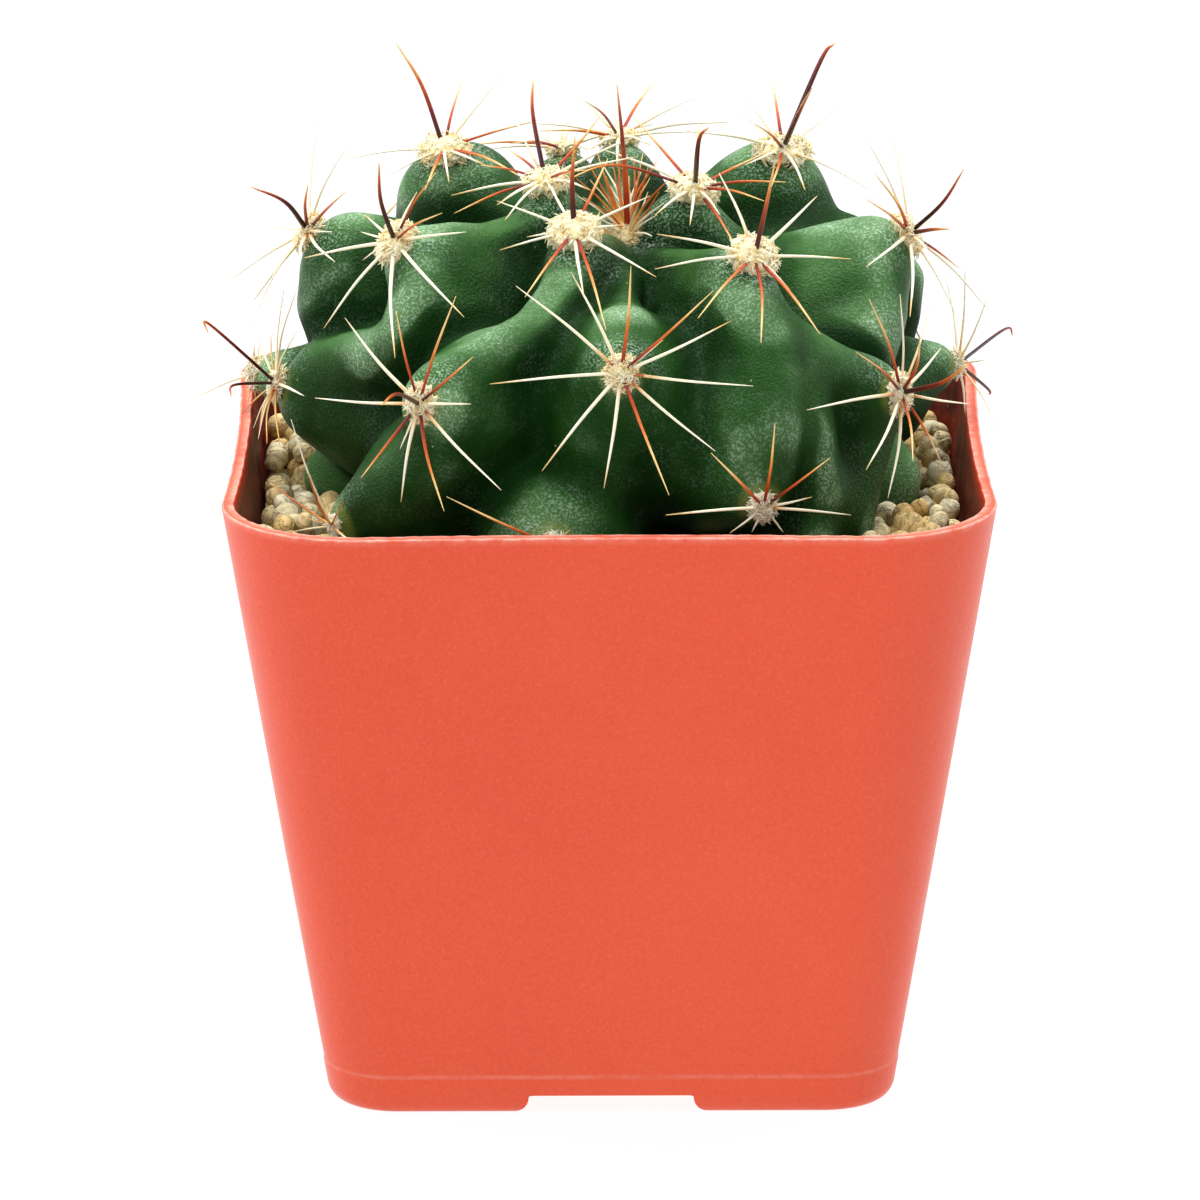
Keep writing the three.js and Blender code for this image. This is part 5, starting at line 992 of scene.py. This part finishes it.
def pot_material():
    m = Nodes("pot_plastic")
    edge = m.attr("edge")
    big = m.noise(16.0, 3.0, 0.5)
    mid = m.noise(120.0, 4.0, 0.6)
    col = m.ramp(big, [(0.3, srgb(224, 75, 39)), (0.7, srgb(232, 83, 46))])
    col = m.mix(m.map(mid, 0.45, 0.8, 0.0, 0.18), col, srgb(236, 100, 68))
    grain = m.noise(2300.0, 4.0, 0.7)
    col = m.mix(m.map(grain, 0.52, 0.72, 0.0, 0.22), col, srgb(246, 128, 98))
    col = m.mix(m.map(grain, 0.48, 0.30, 0.0, 0.22), col, srgb(196, 58, 32))
    speck = m.map(m.voronoi(1400.0), 0.0, 0.13, 1.0, 0.0)
    col = m.mix(m.math('MULTIPLY', speck, 0.16), col, srgb(252, 170, 140))
    dots = m.math('MULTIPLY', m.map(m.voronoi(260.0), 0.0, 0.035, 1.0, 0.0), 0.5)
    col = m.mix(dots, col, srgb(150, 40, 26))
    # pale line along the rim's edges, partly scuffs and partly painted highlight; a faint painted highlight along the
    # foot ledge
    rim_scuff_and_highlight = m.math('MULTIPLY', edge, m.map(m.noise(520.0, 4.0, 0.7), 0.36, 0.58, 0.25, 1.0))
    col = m.mix(m.math('MULTIPLY', rim_scuff_and_highlight, 0.80), col, srgb(255, 206, 188))
    fine = m.noise(1500.0, 4.0, 0.65)
    wavy = m.noise(60.0, 2.0, 0.5)
    nrm = m.bump(wavy, 0.25, 0.0006)
    nrm = m.bump(fine, 0.28, 0.0002, nrm)
    m.set(Base_Color=col, Roughness=m.map(mid, 0.3, 0.7, 0.38, 0.50), Normal=nrm)
    m.set(Specular_IOR_Level=0.42, Sheen_Weight=0.24, Sheen_Roughness=0.30)
    m.set(Subsurface_Weight=0.10, Subsurface_Radius=(1.0, 0.25, 0.12), Subsurface_Scale=0.0015)
    return m.mat

def pot_inside_material():
    m = Nodes("pot_plastic_inside")
    depth = m.attr("depth")
    # darker from the rim downwards, to a mottled dark brown, with pale splashes
    darker_down = m.math('MULTIPLY', m.map(depth, 0.0, 2.2, 0.30, 1.0), m.map(m.noise(170.0, 4.0, 0.6), 0.25, 0.60, 0.70, 1.0))
    dark_brown = m.ramp(m.noise(420.0, 4.0, 0.65), [(0.35, srgb(58, 18, 8)), (0.65, srgb(112, 38, 18))])
    col = m.mix(darker_down, srgb(214, 66, 38), dark_brown)
    splash = m.map(m.voronoi(620.0), 0.0, 0.15, 1.0, 0.0)
    col = m.mix(m.math('MULTIPLY', splash, 0.45), col, srgb(236, 178, 150))
    m.set(Base_Color=col, Roughness=0.55, Normal=m.bump(m.noise(900.0, 4.0, 0.6), 0.35, 0.0003))
    m.set(Specular_IOR_Level=0.22)
    return m.mat

def outer_gap(x, y, z):
    """How far a point lies inside the pot's outer face."""
    t = z / POT_H
    half = BASE_HALF + (TOP_HALF - BASE_HALF) * t
    rad = CORNER_BASE + (CORNER_TOP - CORNER_BASE) * t
    flat = half - rad
    s = np.clip(np.minimum(np.abs(x), np.abs(y)) / flat, 0, 1)
    half = half - 0.68 * np.maximum(t, 0) * (1 - s * s)
    qx, qy = np.abs(x) - (half - rad), np.abs(y) - (half - rad)
    return -(np.hypot(np.maximum(qx, 0), np.maximum(qy, 0)) + np.minimum(np.maximum(qx, qy), 0) - rad)

def build_pot():
    mat = pot_material()
    # outside, with the round at the foot, the faint moulding ledge and the round of the rim
    rows = []
    R = 1.8
    for k in range(9):
        a = k / 8 * math.pi / 2
        rows.append((R * (1 - math.sin(a)), R * (1 - math.cos(a))))   # inset, z
    prof = [(i * 0.72, z) for i, z in rows]
    prof += [(0.0, 3.2), (0.0, 4.45), (0.02, 4.62), (0.10, 4.74), (0.10, 5.2)]
    for z in np.linspace(8, 68, 26):
        prof.append((0.10 * max(0.0, 1 - (z - 5) / 25), z))
    prof += [(0.0, 70.5), (0.0, 72.0)]
    rr = 0.42
    for k in range(7):
        a = k / 6 * math.pi / 2
        prof.append((rr * (1 - math.cos(a)), POT_H - rr + rr * math.sin(a)))
    pot = loft("pot_shell", [section(z, i) for i, z in prof], [mat])
    inner = [(WALL + 1.9, 3.9), (WALL + 1.0, 4.1), (WALL + 0.35, 4.7), (WALL, 5.8)]
    for z in np.linspace(9, 66, 22):
        inner.append((WALL, z))
    inner += [(WALL + LIP * 0.4, 69.0), (WALL + LIP * 0.8, 70.8), (WALL + LIP, 72.0)]
    for k in range(6):
        a = k / 5 * math.pi / 2
        inner.append((WALL + LIP - 0.22 * (1 - math.cos(a)), POT_H - 0.22 + 0.22 * math.sin(a)))
    inner.append((WALL + LIP - 0.22, POT_H + 1))
    boolean(pot, loft("cut", [section(z, i) for i, z in inner], []))
    g, h, r = 9.6, 2.4, 2.2
    out = [(-g - r, -1), (-g - r, 0)]
    out += [(-g - r + r * math.sin(a), r - r * math.cos(a)) for a in np.linspace(0.0, math.pi / 2, 9)[1:]]
    out += [(-g + 0.15, h - 0.05), (-g + 0.5, h)]
    out += [(g - 0.5, h), (g - 0.15, h - 0.05)]
    out += [(g + r - r * math.sin(a), r - r * math.cos(a)) for a in np.linspace(math.pi / 2, 0.0, 9)[:-1]]
    out += [(g + r, 0), (g + r, -1)]
    boolean(pot, prism("cut", out[::-1], 'y', -60, 60))
    boolean(pot, prism("cut", out[::-1], 'x', -60, 60))
    w0, w1 = g + 1.9 + 1.4, BASE_HALF - WALL - 1.9
    for sx in (-1, 1):
        for sy in (-1, 1):
            w = (w1 - w0) / 2
            mid = (w0 + w1) / 2
            loop = []
            for qx, qy, a0 in ((1, 1, 0), (-1, 1, 90), (-1, -1, 180), (1, -1, 270)):
                q = (CORNER_BASE - WALL - 1.2) if (qx * sx > 0 and qy * sy > 0) else 1.6
                for a in np.linspace(0, 90, 7):
                    b = math.radians(a0 + a)
                    loop.append((sx * mid + qx * (w - q) + q * math.cos(b), sy * mid + qy * (w - q) + q * math.sin(b)))
            boolean(pot, prism("cut", loop, 'z', WALL, 4.4))
    for x, y in ((0, 0), (17, 0), (-17, 0), (0, 17), (0, -17)):
        loop = [(x + 3.0 * math.cos(a), y + 3.0 * math.sin(a)) for a in np.linspace(0, 2 * math.pi, 28, endpoint=False)]
        boolean(pot, prism("cut", loop, 'z', -1, 5))
    me = pot.data
    me.polygons.foreach_set("use_smooth", np.ones(len(me.polygons), bool))
    import bmesh
    bm = bmesh.new()
    bm.from_mesh(me)
    bmesh.ops.remove_doubles(bm, verts=bm.verts, dist=1e-6)
    for e in bm.edges:
        if len(e.link_faces) == 2 and e.calc_face_angle(0) > math.radians(38):
            e.smooth = False
    bm.to_mesh(me)
    bm.free()
    me.materials.clear()
    me.materials.append(mat)
    # a hand-trimmed rim: very slightly ragged; and where the inside and the rim's edges are
    co = np.zeros(len(me.vertices) * 3)
    me.vertices.foreach_get("co", co)
    co = co.reshape(-1, 3) / MM
    gap = outer_gap(co[:, 0], co[:, 1], co[:, 2])
    add_attr(pot, "depth", POT_H - co[:, 2])
    pot.data.materials.append(pot_inside_material())
    inside = (gap > np.where(co[:, 2] > 71.5, 1.42, 1.2)) & (co[:, 2] > 3.0)
    loops = np.zeros(len(me.loops), np.int32)
    me.loops.foreach_get("vertex_index", loops)
    starts = np.zeros(len(me.polygons), np.int32)
    me.polygons.foreach_get("loop_start", starts)
    share = np.add.reduceat(inside[loops].astype(int), starts) / np.diff(np.append(starts, len(loops)))
    me.polygons.foreach_set("material_index", (share > 0.45).astype(np.int32))
    # the edge attribute: pale lines along the rim's top edges (partly scuffs, partly painted highlight) and a faint
    # painted highlight along the foot ledge
    outer_edge = np.exp(-((gap - 0.16) / 0.14) ** 2)
    inner_edge = np.exp(-((gap - 1.36) / 0.12) ** 2)
    rim_line = np.clip((co[:, 2] - 72.3) / 0.35, 0, 1) * np.maximum(outer_edge * 0.8, inner_edge)
    foot_line = 0.30 * np.exp(-((co[:, 2] - 4.70) / 0.10) ** 2) * (gap < 0.4)
    add_attr(pot, "edge", np.maximum(rim_line, foot_line))
    up = np.clip((co[:, 2] - 71.6) / 1.2, 0, 1)
    for i in np.nonzero(up > 0)[0]:
        q = Vector(co[i])
        a = noise.noise(q / 1.1 + Vector((3, 8, 1))) * 0.13 + noise.noise(q / 3.5) * 0.10
        b = noise.noise(q / 1.4 + Vector((31, 5, 2))) * 0.09
        n2 = Vector((q.x, q.y, 0)).normalized()
        co[i] += np.array((n2.x * b, n2.y * b, -abs(a))) * up[i]
    me.vertices.foreach_set("co", (co * MM).ravel())
    me.update()
    return pot

pot = build_pot()
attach(pot, "root")
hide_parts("pot")

# ------------------------------------------------------------------ granules
MIX_TOP = -11.5
def wall_clear(x, y, h):
    H = TOP_HALF - WALL + (TOP_HALF - BASE_HALF) * h / POT_H
    bow = 0.68 * (1 - np.clip(np.minimum(np.abs(x), np.abs(y)) / 28, 0, 1) ** 2)
    H = H - bow
    r = CORNER_TOP - WALL
    qx, qy = np.abs(x) - (H - r), np.abs(y) - (H - r)
    return -(np.hypot(np.maximum(qx, 0), np.maximum(qy, 0)) + np.minimum(np.maximum(qx, qy), 0) - r)

def gravel_level(x, y):
    return -4.4 - 0.030 * y + 0.010 * x + 0.4 * math.sin(x * 0.21 + 1.0) * math.sin(y * 0.17)

def granule_material():
    m = Nodes("clay_granules")
    tone = m.attr("tone")
    col = m.ramp(tone, [(0.0, srgb(196, 158, 94)), (0.25, srgb(232, 200, 132)), (0.5, srgb(250, 230, 174)), (0.75, srgb(210, 202, 166)), (1.0, srgb(255, 244, 204))])
    n1 = m.noise(700.0, 5.0, 0.65)
    col = m.mix(m.map(n1, 0.44, 0.74, 0.0, 0.55), col, srgb(104, 82, 46))
    fold = m.math('PINGPONG', m.math('MULTIPLY', m.noise(300.0, 3.0, 0.6, dist=1.2), 8.0), 1.0)
    wrinkle = m.map(fold, 0.0, 0.30, 1.0, 0.0)
    col = m.mix(m.math('MULTIPLY', wrinkle, 0.48), col, srgb(78, 56, 28))
    pale = m.map(m.noise(1800.0, 3.0), 0.56, 0.78, 0.0, 0.6)
    col = m.mix(pale, col, srgb(234, 218, 178))
    hgt = m.math('ADD', m.math('MULTIPLY', n1, 0.8), m.math('MULTIPLY', wrinkle, -0.6))
    nrm = m.bump(hgt, 0.6, 0.0004)
    nrm = m.bump(m.noise(3000.0, 3.0), 0.4, 0.0002, nrm)
    m.set(Base_Color=col, Roughness=0.66, Normal=nrm)
    m.set(Specular_IOR_Level=0.40)
    return m.mat

def build_granules():
    grains = []
    cell = {}
    def key(x, y):
        return (int(math.floor(x / 4)), int(math.floor(y / 4)))
    tries = 9000
    pts = rng.uniform(-42.5, 42.5, (tries, 2))
    size = np.clip(rng.normal(1.50, 0.20, tries), 1.0, 1.95)
    # rows along the wall come first, so that the layer reaches it
    first, fsize = [], []
    for row, h in enumerate((-10.2, -7.4, -5.4)):
        ring = section(POT_H + h, WALL, 12, 18)[:, :2]
        seg = np.linalg.norm(np.roll(ring, -1, 0) - ring, axis=1)
        run = np.concatenate([[0], np.cumsum(seg)])
        s = rng.uniform(0, 2.0)
        while s < run[-1]:
            k = min(int(np.searchsorted(run, s, side='right')) - 1, len(ring) - 1)
            q = ring[k] + (np.roll(ring, -1, 0)[k] - ring[k]) * ((s - run[k]) / max(seg[k], 1e-6))
            r = float(np.clip(rng.normal(1.5, 0.2), 1.05, 1.95))
            for back in np.arange(r + 0.06, r + 2.5, 0.06):
                c = q * (1 - back / np.linalg.norm(q))
                if wall_clear(c[0], c[1], h) >= r + 0.05:
                    break
            first.append(c)
            fsize.append(r)
            s += 2 * r * rng.uniform(0.92, 1.05)
    pts = np.vstack([np.array(first), pts])
    size = np.concatenate([fsize, size])
    for (x, y), r in zip(pts, size):
        if wall_clear(x, y, -9.0) < r + 0.05:
            continue
        z = MIX_TOP + r
        kx, ky = key(x, y)
        for i in (-1, 0, 1):
            for j in (-1, 0, 1):
                for gx, gy, gz, gr in cell.get((kx + i, ky + j), ()):
                    d2 = (gx - x) ** 2 + (gy - y) ** 2
                    s = (gr + r) * 0.93
                    if d2 < s * s:
                        z = max(z, gz + math.sqrt(s * s - d2))
        by_stem = field.at(np.array([[x, y, z]]))[0]
        if z + r > gravel_level(x, y) + 0.5 - 1.4 * float(np.clip(1.6 - by_stem / 3.0, 0, 1)):
            continue
        if by_stem < r + 0.1 or wall_clear(x, y, z) < r + 0.05:
            continue
        cell.setdefault((kx, ky), []).append((x, y, z, r))
        grains.append((x, y, z, r))
    S = Soup()
    for k, (x, y, z, r) in enumerate(grains):
        top = z + r > gravel_level(x, y) - 2.4
        v, f = ICO[(3 if top else 2)]
        off = Vector(rng.uniform(-90, 90, 3))
        sc = np.array((1.0, rng.uniform(0.84, 1.0), rng.uniform(0.74, 0.96)))
        ang = rng.uniform(0, 2 * math.pi, 3)
        rot = np.array(Matrix.Rotation(ang[0], 3, 'X') @ Matrix.Rotation(ang[1], 3, 'Y') @ Matrix.Rotation(ang[2], 3, 'Z'))
        d = np.array([1.0 + 0.10 * noise.noise(Vector(q) * 1.4 + off) + 0.05 * noise.noise(Vector(q) * 3.6 + off) for q in v])
        w = (v * d[:, None] * sc) @ rot.T * r + (x, y, z + POT_H)
        S.mesh(w, f, 0, 0.0, rng.rand())
    return S.build("clay_granules", [granule_material()]), len(grains)

granules, count = build_granules()
print("granules", count)
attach(granules, "root")
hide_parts("granule_top_layer")

# the mix below keeps its solid and gets a crumbly dark surface
def mix_material():
    m = Nodes("potting_mix_crumb")
    n = m.noise(500.0, 5.0, 0.7)
    col = m.ramp(n, [(0.3, srgb(38, 26, 18)), (0.55, srgb(74, 54, 38)), (0.8, srgb(116, 90, 62))])
    m.set(Base_Color=col, Roughness=0.95, Normal=m.bump(n, 0.9, 0.001))
    return m.mat
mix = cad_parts["potting_mix"]
mm = mix_material()
if not mix.material_slots:
    mix.data.materials.append(mm)
for s in mix.material_slots:
    s.material = mm

# ------------------------------------------------------------------ floor, light
def stage():
    s = 3.0
    fl = new_object("floor", np.array([(-s, -s, 0), (s, -s, 0), (s, s, 0), (-s, s, 0)]) / MM - (0, 0, 0.02), [np.array([[0, 1, 2, 3]])], [], smooth=False)
    m = Nodes("pale_floor")
    m.set(Base_Color=(0.12, 0.12, 0.12), Roughness=0.9, Emission_Color=(1.0, 1.0, 1.0), Emission_Strength=0.93)
    m.set(Specular_IOR_Level=0.0)
    fl.data.materials.append(m.mat)
    w = bpy.data.worlds.new("studio")
    bpy.context.scene.world = w
    w.use_nodes = True
    w.node_tree.nodes["Background"].inputs[0].default_value = (1, 1, 1, 1)
    w.node_tree.nodes["Background"].inputs[1].default_value = 0.30
    def area(name, loc, size, power, target=(0, 0, 0.06)):
        l = bpy.data.lights.new(name, 'AREA')
        l.shape = 'RECTANGLE'
        l.size, l.size_y = size
        l.energy = power
        o = bpy.data.objects.new(name, l)
        bpy.context.scene.collection.objects.link(o)
        o.location = loc
        d = Vector(target) - Vector(loc)
        o.rotation_euler = d.to_track_quat('-Z', 'Y').to_euler()
        return o
    area("key", (-0.42, -0.72, 0.80), (0.6, 0.6), 5.3)
    area("fill", (0.75, -0.55, 0.45), (0.5, 0.6), 1.3)
    area("top", (0.0, 0.22, 1.0), (0.9, 0.5), 12.5)
    area("left_rear", (-0.78, 0.30, 0.45), (0.3, 0.7), 3.6, (0, 0, 0.08))
    area("right_rear", (0.75, 0.45, 0.45), (0.3, 0.7), 3.0, (0, 0, 0.08))
stage()
sc = bpy.context.scene
sc.view_settings.view_transform = 'Standard'
sc.view_settings.look = 'None'
sc.render.film_transparent = False
